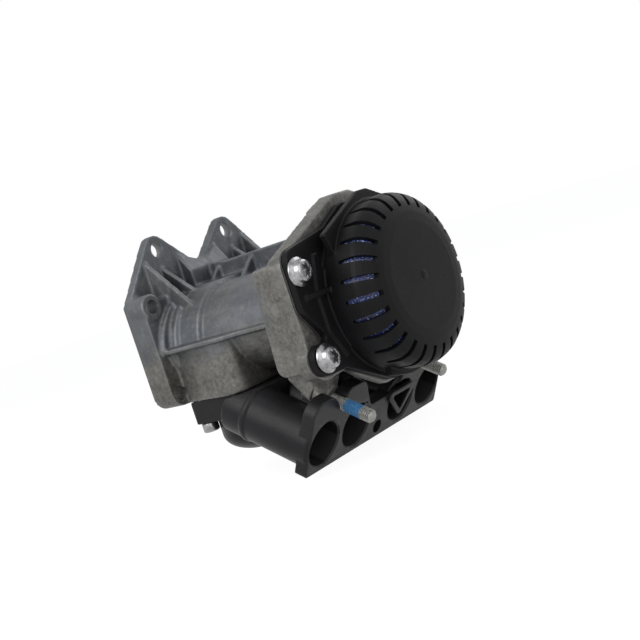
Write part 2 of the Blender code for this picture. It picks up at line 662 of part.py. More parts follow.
def body_holes():
    """Cutters for the mounting, screw, stud and bolt holes and the flange's pockets."""
    holes = []
    mounting = [(EAR_Y, EAR_HOLE_Z, EAR_HOLE_R), (SIDE_HOLE_Y, SIDE_HOLE_TOP, MOUNT_HOLE_R),
                (SIDE_HOLE_Y, SIDE_HOLE_BOTTOM, MOUNT_HOLE_R)]
    deep = FLANGE_DEPTH + BOSS_PROUD + OVERLAP
    for index, (y, z, radius) in enumerate(mounting):
        for side in (-1, 1):
            hole = rod(f"mount_hole_{index}_{side}", radius, -OVERLAP, deep, 16)
            holes.append(place(hole, (0.0, side * y, z)))
    bottom = REAR_FACE - CAP_SCREW_LENGTH
    for index, (y, z) in enumerate(cap_screw_places()):
        hole = rod(f"cap_screw_hole_{index}", CAP_SCREW_R + RUN_GAP, bottom, REAR_FACE + OVERLAP, 16)
        holes.append(place(hole, (0.0, y, z)))
    for name, across, up in STUDS:
        hole = rod(f"{name}_hole", STUD_RADIUS + RUN_GAP, -STUD_GRIP - SEAT_GAP, OVERLAP, 16)
        holes.append(place(hole, port_point(PORT_PLATE + SEAT_GAP, across, up), PORT_TILT))
    low = UNDERSIDE - OVERLAP
    for index, (x, y, grip) in enumerate(MANIFOLD_BOLTS):
        outline = circle((x, y), MANIFOLD_BOLT_R + RUN_GAP, 12)
        holes.append(prism_z(f"bolt_hole_{index}", outline, low, UNDERSIDE + grip + 1 * MM))
    for side in (-1, 1):
        feed = circle((BOWL_X, side * BOWL_Y), FEED_BORE, SMALL_ROUND)
        holes.append(prism_z(f"feed_{side}", feed, low, BODY_FEED_TOP))
        near = side * POCKET_INNER
        far = side * POCKET_OUTER
        corners = [(near, -POCKET_HALF_HEIGHT), (far, -POCKET_HALF_HEIGHT), (far, POCKET_HALF_HEIGHT),
                   (near, POCKET_HALF_HEIGHT)]
        pocket = rounded([(y, z, POCKET_CORNER) for y, z in corners], 2)
        holes.append(prism_x(f"pocket_{side}", pocket, -OVERLAP, POCKET_DEPTH))
    return holes


def cap_screw_places():
    """Places of the four cap screws, as (y, z)."""
    return [(sy * CAP_SCREW_Y, sz * CAP_SCREW_Z) for sy in (-1, 1) for sz in (1, -1)]


def parting_rib():
    """Thin rib round the body at the parting plane."""
    rib = [(FLANGE_DEPTH - OVERLAP, FLANGE_HALF_WIDTH - PARTING_FOOT),
           (FLANGE_DEPTH + 2 * MM, FLANGE_HALF_WIDTH - PARTING_FOOT - 2 * MM), (BLOCK_END, BODY_HALF_WIDTH + 8 * MM),
           (BLOCK_END + 6 * MM, BODY_HALF_WIDTH + PARTING_PROUD), (REAR_PLATE - 5 * MM, BODY_HALF_WIDTH + PARTING_PROUD)]
    outline = rib + [(x, -y) for x, y in reversed(rib)]
    return prism_z("parting_rib", outline, -PARTING_RIB / 2, PARTING_RIB / 2)


def gable_line(y, below):
    """Height of the gable's slope at a distance from the middle plane, less a margin."""
    return REAR_PEAK - below - (y - REAR_PEAK_HALF) * math.tan(GABLE_ANGLE)


def rear_flange():
    """Rear plate with its recess, the block in front of it, the top lugs and the skirt."""
    half = REAR_HALF_WIDTH
    plate = prism_x("rear_plate", gable(half, REAR_PEAK, REAR_PEAK_HALF, 8 * MM, UNDERSIDE, 8 * MM), REAR_PLATE, REAR_FACE)
    wide = DRUM_RADIUS - 4 * MM
    floor = STEP_TOP + 6.5 * MM
    right = [(REAR_PEAK_HALF, gable_line(REAR_PEAK_HALF, RECESS_RIM)), (wide, gable_line(wide, RECESS_RIM)), (wide, floor)]
    recess = right + [(-y, z) for y, z in reversed(right)]
    cut(plate, prism_x("rear_recess", recess, REAR_PLATE - OVERLAP, REAR_PLATE + RECESS_DEPTH))
    inside = REAR_PLATE + OVERLAP
    step = [(REAR_PLATE - STEP_TOP_RUN, STEP_TOP, 4 * MM), (inside, STEP_TOP, 0.0), (inside, STEP_BOTTOM, 0.0),
            (REAR_PLATE - STEP_BOTTOM_RUN, STEP_BOTTOM, 6 * MM)]
    parts = [plate, prism_y("rear_step", rounded(step), 0.0, 2 * (half - STEP_IN))]
    low = DRUM_RADIUS + 3.5 * MM
    skirt = [(half, UNDERSIDE + 23 * MM, 0.0), (half, UNDERSIDE - 3.1 * MM, 11 * MM), (44 * MM, UNDERSIDE - 2.1 * MM, 3 * MM),
             (34 * MM, UNDERSIDE - 9 * MM, 6 * MM), (14 * MM, -low, 12 * MM)]
    parts.append(prism_x("rear_skirt", rounded(mirrored(skirt)), LOBE_TOP_X + SKIRT_GAP, REAR_FACE))
    near = REAR_PEAK_HALF + 0.5 * MM
    far = near + 9 * MM
    for side in (-1, 1):
        lug = rod(f"lower_lug_{side}", REAR_LUG_R, REAR_PLATE, REAR_FACE)
        parts.append(place(lug, (0.0, side * (CAP_SCREW_Y - REAR_LUG_IN), -CAP_SCREW_Z)))
        outline = [(near, gable_line(far, 4.7 * MM)), (near, gable_line(near, 2.1 * MM)), (far, gable_line(far, 1.7 * MM)),
                   (far, gable_line(far, 4.7 * MM))]
        mirror = [(side * y, z) for y, z in outline]
        parts.append(prism_x(f"top_lug_{side}", mirror, REAR_PLATE - TOP_LUG_RUN, inside))
    return parts


def build_body():
    """The casting: flanges, body, block, ribs and bores in one piece."""
    steps = [(FLANGE_DEPTH - OVERLAP, FOOT_HALF, NECK_RISE, FOOT_LOWER), (FOOT_END, FOOT_HALF, NECK_RISE, FOOT_LOWER),
             (FOOT_END + NECK_STEP_RUN, NECK_HALF, NECK_RISE, NECK_LOWER), (NECK_END, NECK_HALF, NECK_RISE, NECK_LOWER),
             (NECK_END + NECK_STEP_RUN, COLLAR_HALF, NECK_RISE, 1.0), (COLLAR_END, COLLAR_HALF, NECK_RISE, 1.0),
             (COLLAR_END + SHOULDER_RUN, BODY_HALF_WIDTH, 0.0, 1.0), (REAR_PLATE, BODY_HALF_WIDTH, 0.0, 1.0)]
    sections = [[(x, y, z) for y, z in body_section(half, rise, lower)] for x, half, rise, lower in steps]
    body = loft("valve_body", sections, "casting")
    add(body, prism_x("ear_plate", flange_outline(), 0.0, EAR_DEPTH))
    add(body, prism_x("thick_plate", thick_outline(), EAR_DEPTH - OVERLAP, FLANGE_DEPTH))
    add(body, prism_z("block", block_outline(), UNDERSIDE, BODY_PARTING_EDGE))
    add(body, parting_rib())
    for side in (-1, 1):
        boss = rod(f"side_boss_{side}", BOSS_RADIUS, EAR_DEPTH - OVERLAP, FLANGE_DEPTH + BOSS_PROUD)
        add(body, place(boss, (0.0, side * SIDE_HOLE_Y, SIDE_HOLE_TOP)))
    add(body, *rear_flange(), *ear_ribs(), *ridge_parts(), *stud_supports())
    cut(body, *body_bores(), *body_holes())
    return body


def port_plate_outline():
    """Port plate with its lobes, as (y, up) points."""
    half = PORT_PLATE_HALF
    inner = PORT_INNER_Y
    outer = PORT_OUTER_Y
    left_rise = PORT_LOBE_RISE
    right_rise = RIGHT_LOBE_RISE
    valley = PORT_RADIUS - 4.5 * MM
    brim = PORT_RADIUS + 1.5 * MM
    right = [(inner - 6 * MM, valley, 4 * MM), (inner + 3 * MM, right_rise, 7 * MM), (outer - 11 * MM, right_rise, 7 * MM),
             (outer - 2 * MM, brim, 6 * MM), (outer + 10 * MM, brim, 6 * MM), (half, 0.0, 4 * MM),
             (half, -PORT_PLATE_DROP, 2.5 * MM)]
    left = [(half, -PORT_PLATE_DROP, 2.5 * MM), (half, left_rise, 12 * MM), (outer - 6 * MM, left_rise, 12 * MM),
            (PORT_PAIR_Y + 3.5 * MM, brim, 4 * MM), (PORT_PAIR_Y - 2 * MM, left_rise, 7 * MM),
            (inner - 3 * MM, left_rise, 7 * MM), (inner - 13 * MM, valley, 4 * MM)]
    return rounded(right + [(-y, up, radius) for y, up, radius in left])


def build_manifold():
    """Moulded manifold: top plate, two bowls, four port tubes and the tilted port plate."""
    outline = port_plate_outline()
    manifold = prism_port("port_manifold", outline, 0.0, PORT_PLATE, "manifold")
    top = MANIFOLD_TOP
    half = TOP_PLATE_HALF
    start = FLANGE_DEPTH + SEAT_GAP
    end = BLOCK_END + TOP_PLATE_REACH
    plan = rounded([(start, half, 1.5 * MM), (end, half, 12 * MM), (end, -half, 12 * MM), (start, -half, 1.5 * MM)])
    plan_bottom = top - TOP_PLATE_HEIGHT
    for index, across in enumerate(PORT_YS):
        tube = rod(f"tube_{index}", PORT_RADIUS + PORT_WALL, -TUBE_LENGTH, -PORT_PLATE / 2, PORT_ROUND)
        add(manifold, place(tube, port_point(0.0, across, 0.0), PORT_TILT))
    add(manifold, prism_z("top_plate", plan, plan_bottom, top))
    for side in (-1, 1):
        bowl = bowl_shape(f"bowl_{side}")
        bowl.location = (BOWL_X, side * BOWL_Y, 0.0)
        add(manifold, bowl)
    for side in (-1, 1):
        web = [(BLOCK_END, plan_bottom + OVERLAP), (PORT_CENTRE_X - 22 * MM, PORT_CENTRE_Z + 14.6 * MM),
               (PORT_CENTRE_X - 34 * MM, PORT_CENTRE_Z + 4.6 * MM), (BLOCK_END - 12 * MM, plan_bottom - 8.2 * MM)]
        add(manifold, prism_y(f"pair_web_{side}", web, side * PORT_PAIR_Y, PORT_BRIDGE + OVERLAP))
    middle = [(BLOCK_END + 4 * MM, plan_bottom + OVERLAP), port_xz(PORT_PLATE - OVERLAP, 7 * MM),
              port_xz(PORT_PLATE - OVERLAP, -7 * MM), (BLOCK_END + 1 * MM, plan_bottom + OVERLAP)]
    add(manifold, prism_y("middle_web", middle, 0.0, 34 * MM))
    cut(manifold, *manifold_cutters())
    add(manifold, triangle_frame())
    return manifold


def port_xz(behind, up):
    """The (x, z) of a point in the port plate's own axes."""
    point = port_point(behind, 0.0, up)
    return (point.x, point.z)


def bowl_shape(name):
    """Round bowl with a domed bottom, standing on the Z axis."""
    top = MANIFOLD_TOP - TOP_PLATE_HEIGHT / 2
    depth = BOWL_WALL_BOTTOM - BOWL_BOTTOM
    profile = [(-top, 0.0), (-top, BOWL_RADIUS)]
    profile += [(-BOWL_WALL_BOTTOM + depth * math.sin(math.radians(a)), BOWL_RADIUS * math.cos(math.radians(a)))
                for a in (0, 30, 55, 75)]
    profile.append((-BOWL_BOTTOM, 0.0))
    bowl = turned(name, profile, LARGE_ROUND)
    bowl.data.transform(Matrix.Rotation(math.radians(90.0), 4, "Y"))
    return bowl


def triangle_frame():
    """Small open triangle that stands on the port plate above one port."""
    proud = 2 * MM
    left = PORT_INNER_Y - PORT_RADIUS - 7.5 * MM
    right = PORT_INNER_Y + PORT_RADIUS + 0.5 * MM
    tip = PORT_INNER_Y - 2.5 * MM
    top = PORT_RADIUS - 3 * MM
    outer = [(left, top, 3 * MM), (right, top, 3 * MM), (tip, top - 19.5 * MM, 3 * MM)]
    inner = [(left + 7 * MM, top - 3 * MM, 1 * MM), (right - 7 * MM, top - 3 * MM, 1 * MM), (tip, top - 15 * MM, 1 * MM)]
    frame = prism_port("triangle_frame", rounded(outer, 2), -proud, OVERLAP)
    cut(frame, prism_port("triangle_window", rounded(inner, 2), -proud - OVERLAP, PORT_PLATE))
    return frame


def manifold_cutters():
    """Cutters for the ports, their feeds, the studs and the bolts."""
    tools = []
    for index, across in enumerate(PORT_YS):
        port = rod(f"port_{index}", PORT_RADIUS, -PORT_DEPTH, OVERLAP / 2, PORT_ROUND)
        tools.append(place(port, port_point(0.0, across, 0.0), PORT_TILT))
        feed = rod(f"port_feed_{index}", FEED_RADIUS, -PORT_DEPTH - FEED_DEPTH, -PORT_DEPTH + OVERLAP, SMALL_ROUND)
        tools.append(place(feed, port_point(0.0, across, 0.0), PORT_TILT))
    for name, across, up in STUDS:
        hole = rod(f"{name}_pass", STUD_RADIUS + RUN_GAP, -PORT_PLATE - OVERLAP, OVERLAP, 16)
        tools.append(place(hole, port_point(0.0, across, up), PORT_TILT))
    small_holes = ((0.3 * MM, -9.5 * MM, 3.2 * MM), (7 * MM - PORT_INNER_Y, PORT_RADIUS - 2.5 * MM, 2.2 * MM))
    for index, (across, up, radius) in enumerate(small_holes):
        hole = rod(f"plate_hole_{index}", radius, -PORT_PLATE / 2, OVERLAP, 16)
        tools.append(place(hole, port_point(0.0, across, up), PORT_TILT))
    top = MANIFOLD_TOP + OVERLAP
    seat = MANIFOLD_TOP - TOP_PLATE_HEIGHT
    pocket = MANIFOLD_BOLT_HEAD_R + HEAD_ROOM
    for index, (x, y, _) in enumerate(MANIFOLD_BOLTS):
        shank = circle((x, y), MANIFOLD_BOLT_R + RUN_GAP, 12)
        tools.append(prism_z(f"bolt_pass_{index}", shank, seat - OVERLAP, top))
        tools.append(prism_z(f"bolt_seat_{index}", circle((x, y), pocket, SMALL_ROUND), seat - 22 * MM, seat))
    reach = REAR_FACE - 31 * MM
    under_body = [(0.0, MANIFOLD_TOP), (reach, MANIFOLD_TOP), (reach, 0.0), (0.0, 0.0)]
    tools.append(prism_y("under_body", under_body, 0.0, 4 * FLANGE_HALF_WIDTH))
    for side in (-1, 1):
        outline = circle((BOWL_X, side * BOWL_Y), FEED_BORE, SMALL_ROUND)
        tools.append(prism_z(f"bowl_feed_{side}", outline, BOWL_WALL_BOTTOM, top))
    return tools


def build_manifold_fasteners():
    """Bolts, studs and the seals in the ports."""
    for index, (x, y, grip) in enumerate(MANIFOLD_BOLTS):
        tip = UNDERSIDE + grip
        head = MANIFOLD_TOP - TOP_PLATE_HEIGHT - SEAT_GAP - MANIFOLD_BOLT_HEAD
        profile = [(0.0, 0.0), (0.0, MANIFOLD_BOLT_HEAD_R), (MANIFOLD_BOLT_HEAD, MANIFOLD_BOLT_HEAD_R),
                   (MANIFOLD_BOLT_HEAD, MANIFOLD_BOLT_R), (tip - head, MANIFOLD_BOLT_R), (tip - head, 0.0)]
        bolt = turned(f"manifold_bolt_{index + 1}", profile, SMALL_ROUND, "zinc")
        bolt.data.transform(Matrix.Rotation(math.radians(-90.0), 4, "Y"))
        bolt.location = (x, y, head)
        cut(bolt, hex_socket(f"bolt_socket_{index}", 2.5 * MM, 3 * MM, (x, y, head)))
    for name, across, up in STUDS:
        tip = PORT_PLATE + SEAT_GAP + STUD_PROUD
        profile = [(-STUD_GRIP, 0.0), (-STUD_GRIP, STUD_RADIUS - 0.8 * MM), (-STUD_GRIP + 0.8 * MM, STUD_RADIUS),
                   (tip - 1 * MM, STUD_RADIUS), (tip, STUD_RADIUS - 1 * MM), (tip, 0.0)]
        stud = turned(name, profile, SMALL_ROUND, "steel")
        place(stud, port_point(PORT_PLATE + SEAT_GAP, across, up), PORT_TILT)
    for index, across in enumerate(PORT_YS):
        wire = 1.8 * MM
        seal = torus(f"port_seal_{index + 1}", PORT_RADIUS - RUN_GAP - wire, wire, 0.0)
        place(seal, port_point(PORT_DEPTH - wire - SEAT_GAP, across, 0.0), PORT_TILT)


def hex_socket(name, radius, depth, location):
    """Six-sided cutter pointing up from a bolt head's underside."""
    tool = prism_z(name, circle((0.0, 0.0), radius, 6), -OVERLAP, depth)
    tool.location = location
    return tool


def cap_profile():
    """Outer half section of the cap's neck, lip and drum, as (x, radius) points."""
    shoulder = DRUM_RADIUS - SLOT_INNER_R
    neck = DRUM_RADIUS - NECK_STEP
    lip = DRUM_RADIUS + NECK_STEP
    return [(CAP_BACK, neck), (LIP_START, neck), (LIP_START, lip), (LIP_END, lip), (LIP_END + NECK_STEP, DRUM_RADIUS),
            (CAP_FRONT - DRUM_CROWN, DRUM_RADIUS), (CAP_FRONT - DRUM_CROWN * 0.52, DRUM_RADIUS - shoulder * 0.20),
            (CAP_FRONT - DRUM_CROWN * 0.25, DRUM_RADIUS - shoulder * 0.58), (CAP_FRONT - 1.4 * MM, SLOT_INNER_R),
            (CAP_FRONT, SLOT_INNER_R - 9 * MM), (CAP_FRONT, 0.0)]


def drum_inside(gap):
    """Inner half section of the drum, moved inwards by a gap, from its front to its back."""
    inner = DRUM_RADIUS - DRUM_WALL - gap
    front = CAP_FRONT - DRUM_WALL - gap
    return [(front, SLOT_INNER_R - 10 * MM), (front - 2.6 * MM, inner - 5.5 * MM),
            (front - 6.0 * MM, inner - 1.6 * MM), (front - DRUM_CROWN + 1 * MM, inner)]


def drum_facets():
    """Facets round the drum, two for each slot."""
    return 2 * SLOT_COUNT


def cap_plate_outline():
    """Outline of the cap's base plate with its four lugs, as (y, z) points."""
    band = (DRUM_RADIUS + DRUM_BAND) * 1.04
    steep = math.radians(13.5)
    flat = math.radians(38.0)
    edge = CAP_SCREW_Y + CAP_LUG_R
    lug = CAP_LUG_R - 0.1 * MM
    right = [(band * math.sin(steep), band * math.cos(steep), 12 * MM), (band * math.sin(flat), band * math.cos(flat), 8 * MM),
             (CAP_SCREW_Y - 12 * MM, CAP_SCREW_Z + 15 * MM, 6 * MM), (REAR_HALF_WIDTH, CAP_SCREW_Z + 12 * MM, 8 * MM),
             (REAR_HALF_WIDTH, CAP_SCREW_Z - 20 * MM, 5 * MM), (CAP_SCREW_Y - 10 * MM, -CAP_SCREW_Z + 7 * MM, 3 * MM),
             (edge, -CAP_SCREW_Z + CAP_LUG_R, lug), (edge, -CAP_SCREW_Z - CAP_LUG_R, lug),
             (CAP_SCREW_Y - 16 * MM, -CAP_SCREW_Z - 10 * MM, 5 * MM), (band * math.sin(flat), -band * math.cos(flat), 8 * MM),
             (band * math.sin(steep), -band * math.cos(steep), 12 * MM)]
    return rounded(mirrored(right), 3)


def lip_outline():
    """Outline of the gabled lip behind the drum, as (y, z) points."""
    foot = LIP_PEAK - (LIP_FOOT - LIP_PEAK_HALF) * math.tan(GABLE_ANGLE)
    low = DRUM_RADIUS + DRUM_BAND
    right = [(LIP_PEAK_HALF, LIP_PEAK, 2 * MM), (LIP_FOOT, foot, 1.5 * MM), (LIP_FOOT - 1 * MM, foot - 3.4 * MM, 0.0),
             (LIP_FOOT - 5 * MM, foot - 16.4 * MM, 0.0), (DRUM_RADIUS - 24 * MM, -30 * MM, 0.0),
             (DRUM_RADIUS - 24 * MM, -low + 3.5 * MM, 3 * MM), (10 * MM, -low, 6 * MM)]
    return rounded(mirrored(right))


def build_cap():
    """Moulded silencer cap: base plate with lugs, neck, gabled lip and slotted drum."""
    outer = cap_profile()
    inside = drum_inside(0.0)
    profile = outer + [(inside[0][0], 0.0)] + inside + [(CAP_BACK, DRUM_RADIUS - DRUM_WALL)]
    cap = turned("silencer_cap", profile, drum_facets(), "cap")
    hollow_r = DRUM_RADIUS - DRUM_WALL / 2
    plate = prism_x("cap_plate", cap_plate_outline(), CAP_BACK, CAP_BACK + CAP_PLATE)
    lip = prism_x("cap_lip", lip_outline(), LIP_START, LIP_END)
    for name, tool in (("plate", plate), ("lip", lip)):
        cut(tool, rod(f"{name}_hollow", hollow_r, CAP_BACK - OVERLAP, LIP_END + OVERLAP, drum_facets()))
        add(cap, tool)
    for side in (-1, 1):
        inner = DRUM_RADIUS - NECK_STEP * 2
        root = CAP_BACK + CAP_PLATE / 2
        rib = [(root, side * inner), (LIP_START - 1 * MM, side * inner), (CAP_BACK + CAP_PLATE + 1 * MM, side * CAP_SCREW_Y),
               (root, side * (CAP_SCREW_Y + 2 * MM))]
        add(cap, prism_z(f"cap_rib_{side}", rib, CAP_RIB_LOW, CAP_RIB_LOW + RIB_WIDTH))
    add(cap, rod("cap_nub", NUB_RADIUS, CAP_FRONT - OVERLAP, CAP_FRONT + NUB_PROUD, 12))
    cut(cap, slot_cutter())
    for index, (y, z) in enumerate(cap_screw_places()):
        hole = rod(f"cap_pass_{index}", CAP_SCREW_R + RUN_GAP, CAP_BACK - OVERLAP, CAP_BACK + CAP_PLATE + OVERLAP, 16)
        cut(cap, place(hole, (0.0, y, z)))
    return cap


def slot_cutter():
    """All slots of the drum as one cutter of separate bars."""
    builder = bmesh.new()
    front = CAP_FRONT + OVERLAP
    outer = DRUM_RADIUS + 5 * MM
    for index in range(SLOT_COUNT):
        turn = Matrix.Rotation(2 * math.pi * index / SLOT_COUNT, 3, "X")
        corners = [turn @ Vector((x, r, w)) for x in (SLOT_START, front) for r in (SLOT_INNER_R, outer)
                   for w in (-SLOT_WIDTH / 2, SLOT_WIDTH / 2)]
        verts = [builder.verts.new(corner) for corner in corners]
        for face in ((0, 1, 3, 2), (4, 6, 7, 5), (0, 4, 5, 1), (2, 3, 7, 6), (0, 2, 6, 4), (1, 5, 7, 3)):
            builder.faces.new([verts[corner] for corner in face])
    return finish_object("drum_slots", builder, None)


def build_cap_parts():
    """Gasket, filter and screws of the cap."""
    start = REAR_FACE + SEAT_GAP
    gasket = prism_x("cap_gasket", cap_plate_outline(), start, start + CAP_GASKET, "rubber")
    inner = DRUM_RADIUS - DRUM_WALL
    cut(gasket, rod("gasket_hollow", inner, REAR_FACE, CAP_BACK + OVERLAP, LARGE_ROUND))
    for index, (y, z) in enumerate(cap_screw_places()):
        hole = rod(f"gasket_pass_{index}", CAP_SCREW_R + RUN_GAP, REAR_FACE, CAP_BACK + OVERLAP, 16)
        cut(gasket, place(hole, (0.0, y, z)))
    outer = drum_inside(RUN_GAP)
    shell = [(x - FILTER_WALL, max(r - FILTER_WALL, FILTER_MOUTH)) for x, r in outer]
    profile = outer + [(FILTER_START, outer[-1][1]), (FILTER_START, outer[-1][1] - FILTER_WALL)] + list(reversed(shell))
    turned("filter_element", profile, 28, "filter")
    seat = CAP_BACK + CAP_PLATE + SEAT_GAP
    for index, (y, z) in enumerate(cap_screw_places()):
        screw = turned(f"cap_screw_{index + 1}", screw_profile(), SMALL_ROUND, "zinc")
        place(screw, (seat, y, z))
        cut(screw, torx_socket(f"screw_socket_{index}", (seat + CAP_SCREW_HEAD, y, z)))


def screw_profile():
    """Flanged screw from its tip to its head, with the head's seat at X = 0."""
    tip = -(CAP_SCREW_LENGTH - 1 * MM)
    return [(tip, 0.0), (tip, CAP_SCREW_R - 0.8 * MM), (tip + 0.8 * MM, CAP_SCREW_R), (0.0, CAP_SCREW_R),
            (0.0, CAP_SCREW_HEAD_R), (1.2 * MM, CAP_SCREW_HEAD_R), (2.6 * MM, CAP_SCREW_HEAD_R - 1.6 * MM),
            (CAP_SCREW_HEAD - 0.8 * MM, CAP_SCREW_HEAD_R - 2.4 * MM), (CAP_SCREW_HEAD, CAP_SCREW_HEAD_R - 3.2 * MM),
            (CAP_SCREW_HEAD, 0.0)]


def torx_socket(name, location):
    """Six-lobed cutter sunk in a screw head."""
    angles = [2 * math.pi * step / 12 for step in range(12)]
    outline = [((3.2 + 0.5 * math.cos(6 * a)) * MM * math.cos(a), (3.2 + 0.5 * math.cos(6 * a)) * MM * math.sin(a))
               for a in angles]
    tool = prism_x(name, outline, -3.2 * MM, OVERLAP)
    tool.location = location
    return tool


def snap_ring(name, start, bore, inner):
    """Open ring sprung into a groove."""
    outer = bore + SNAP_GROOVE - SEAT_GAP
    half = math.degrees(SNAP_GAP_ANGLE) / 2
    outline = arc((0.0, 0.0), outer, half, 360 - half, 22) + arc((0.0, 0.0), inner, 360 - half, half, 22)
    return prism_x(name, outline, start, start + SNAP_RING, "steel")


def build_plunger_group():
    """Plunger, wiper, guide bush, ring, spring seat and the graduating spring."""
    collar_front = BUSH_BORE_DEPTH
    collar_back = collar_front + PLUNGER_COLLAR
    bore_end = PLUNGER_CROWN
    edge = PLUNGER_EDGE
    profile = [(0.0, 0.0), (0.0, PLUNGER_RADIUS - edge), (edge, PLUNGER_RADIUS), (collar_front, PLUNGER_RADIUS),
               (collar_front, PLUNGER_COLLAR_R), (collar_back, PLUNGER_COLLAR_R), (collar_back, PLUNGER_BORE_R),
               (bore_end, PLUNGER_BORE_R), (bore_end, 0.0)]
    turned("plunger", profile, LARGE_ROUND, "piston")
    bush_end = BUSH_BORE_DEPTH - SEAT_GAP
    hole = PLUNGER_RADIUS + RUN_GAP
    recess = WIPER_RADIUS + RUN_GAP
    profile = [(BUSH_START, recess), (BUSH_START, BUSH_BORE - RUN_GAP), (bush_end, BUSH_BORE - RUN_GAP), (bush_end, hole),
               (BUSH_START + BUSH_RECESS, hole), (BUSH_START + BUSH_RECESS, recess)]
    turned("guide_bush", profile, LARGE_ROUND, "valve")
    wiper = BUSH_START + SEAT_GAP
    washer("plunger_wiper", hole, WIPER_RADIUS, wiper, wiper + BUSH_RECESS - 2 * SEAT_GAP, LARGE_ROUND, "rubber")
    snap_ring("front_snap_ring", front_ring_x(), BUSH_BORE, BUSH_BORE - FRONT_RING_DEPTH)
    seat_front = collar_back + SEAT_GAP
    washer("spring_seat", PLUNGER_BORE_R, SEAT_RADIUS, seat_front, seat_front + SEAT_THICK, LARGE_ROUND, "steel")
    coil("graduating_spring", GRADUATING_SPRING, seat_front + SEAT_THICK + SEAT_GAP, PRIMARY_START - SEAT_GAP)


def piston_profile(start, nose_length, recess):
    """Piston head with a seal groove and a hollow nose, as (x, radius) points."""
    outer = MAIN_BORE - RUN_GAP
    middle = start + PISTON_LENGTH / 2
    back = start + PISTON_LENGTH
    tip = back + nose_length
    groove = outer - SEAL_DEPTH
    return [(start + recess, 0.0), (start + recess, RELAY_RECESS_R), (start, RELAY_RECESS_R), (start, outer),
            (middle - SEAL_GROOVE / 2, outer), (middle - SEAL_GROOVE / 2, groove), (middle + SEAL_GROOVE / 2, groove),
            (middle + SEAL_GROOVE / 2, outer), (back, outer), (back, NOSE_RADIUS), (tip, NOSE_RADIUS), (tip, NOSE_BORE),
            (back, NOSE_BORE), (back, 0.0)]


def groove_seal(name, bore, middle):
    """Seal that fills a groove up to just under the bore."""
    return torus(name, bore - RUN_GAP / 2 - SEAL_WIRE, SEAL_WIRE, middle)


def build_pistons():
    """The two pistons with their seals and return springs."""
    profile = piston_profile(PRIMARY_START, PRIMARY_RETURN + NOSE_REACH, PRIMARY_RECESS)
    turned("primary_piston", profile, LARGE_ROUND, "piston")
    groove_seal("primary_piston_seal", MAIN_BORE, PRIMARY_START + PISTON_LENGTH / 2)
    back = PRIMARY_START + PISTON_LENGTH
    coil("primary_return_spring", RETURN_SPRING, back + SEAT_GAP, DIVIDER_START - SEAT_GAP)
    profile = piston_profile(RELAY_START, RELAY_RETURN + NOSE_REACH, RELAY_RECESS)
    turned("relay_piston", profile, LARGE_ROUND, "piston")
    groove_seal("relay_piston_seal", MAIN_BORE, RELAY_START + PISTON_LENGTH / 2)
    back = RELAY_START + PISTON_LENGTH
    coil("relay_return_spring", RETURN_SPRING, back + SEAT_GAP, CARRIER_START)


def valve_profile(start, stem):
    """Inlet valve: a disc on a hollow stem, as (x, radius) points."""
    back = start + VALVE_HEAD
    end = back + stem
    return [(start, VALVE_BORE_R), (start, VALVE_HEAD_R), (back, VALVE_HEAD_R), (back, VALVE_STEM_R), (end, VALVE_STEM_R),
            (end, VALVE_BORE_R)]


def build_cartridge(names, start, length, outer, rim, stem):
    """A fixed cartridge with its seal, inlet valve, valve spring and retainer."""
    shell, seal, valve, spring, retainer = names
    end = start + length
    groove_middle = start + length / 2
    low = groove_middle - SEAL_GROOVE / 2
    high = groove_middle + SEAL_GROOVE / 2
    groove = outer - SEAL_DEPTH
    profile = [(start, SEAT_HOLE_R), (start, outer), (low, outer), (low, groove), (high, groove), (high, outer)]
    if rim:
        profile += [(end - CARRIER_RIM, outer), (end - CARRIER_RIM, rim), (end, rim)]
    else:
        profile += [(end, outer)]
    profile += [(end, CHAMBER_RADIUS), (start + SEAT_WALL, CHAMBER_RADIUS), (start + SEAT_WALL, SEAT_HOLE_R)]
    turned(shell, profile, LARGE_ROUND, "valve")
    groove_seal(seal, outer + RUN_GAP, groove_middle)
    head = start + SEAT_WALL + SEAT_GAP
    turned(valve, valve_profile(head, stem), LARGE_ROUND, "valve")
    back = end - RETAINER_INSET
    front = back - RETAINER_THICK
    coil(spring, VALVE_SPRING, head + VALVE_HEAD + SEAT_GAP, front - SEAT_GAP)
    washer(retainer, VALVE_STEM_R + RUN_GAP, CHAMBER_RADIUS - RUN_GAP, front, back, LARGE_ROUND, "brass")


def build_cartridges():
    """Circuit divider and exhaust carrier with all that they hold."""
    names = ("circuit_divider", "divider_seal", "primary_valve", "primary_valve_spring", "primary_valve_retainer")
    build_cartridge(names, DIVIDER_START, DIVIDER_LENGTH, MAIN_BORE - RUN_GAP, None, PRIMARY_STEM)
    names = ("exhaust_carrier", "carrier_seal", "secondary_valve", "secondary_valve_spring", "secondary_valve_retainer")
    start = CARRIER_START + SEAT_GAP
    length = CARRIER_RIM_START + SEAT_GAP + CARRIER_RIM - start
    rim = CARRIER_RIM_BORE - RUN_GAP
    build_cartridge(names, start, length, CARRIER_BORE - RUN_GAP, rim, SECONDARY_STEM)
    flap = start + length + SEAT_GAP
    washer("exhaust_flap", FLAP_INNER, FLAP_OUTER, flap, flap + FLAP_THICK, LARGE_ROUND, "rubber")
    snap_ring("rear_snap_ring", rear_ring_x(), CARRIER_RIM_BORE, CARRIER_RIM_BORE - REAR_RING_DEPTH)


def main():
    """Build every piece of the valve."""
    clear_scene()
    build_body()
    build_cap()
    build_cap_parts()
    build_manifold()
    build_manifold_fasteners()
    build_plunger_group()
    build_pistons()
    build_cartridges()


main()
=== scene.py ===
"""Foot control valve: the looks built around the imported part.

Sizes in the classes are millimetres in the part's own frame: X along the main bore from the
mounting flange to the silencer cap, Z towards the two ears, the origin on the bore's axis.
"""

from __future__ import annotations

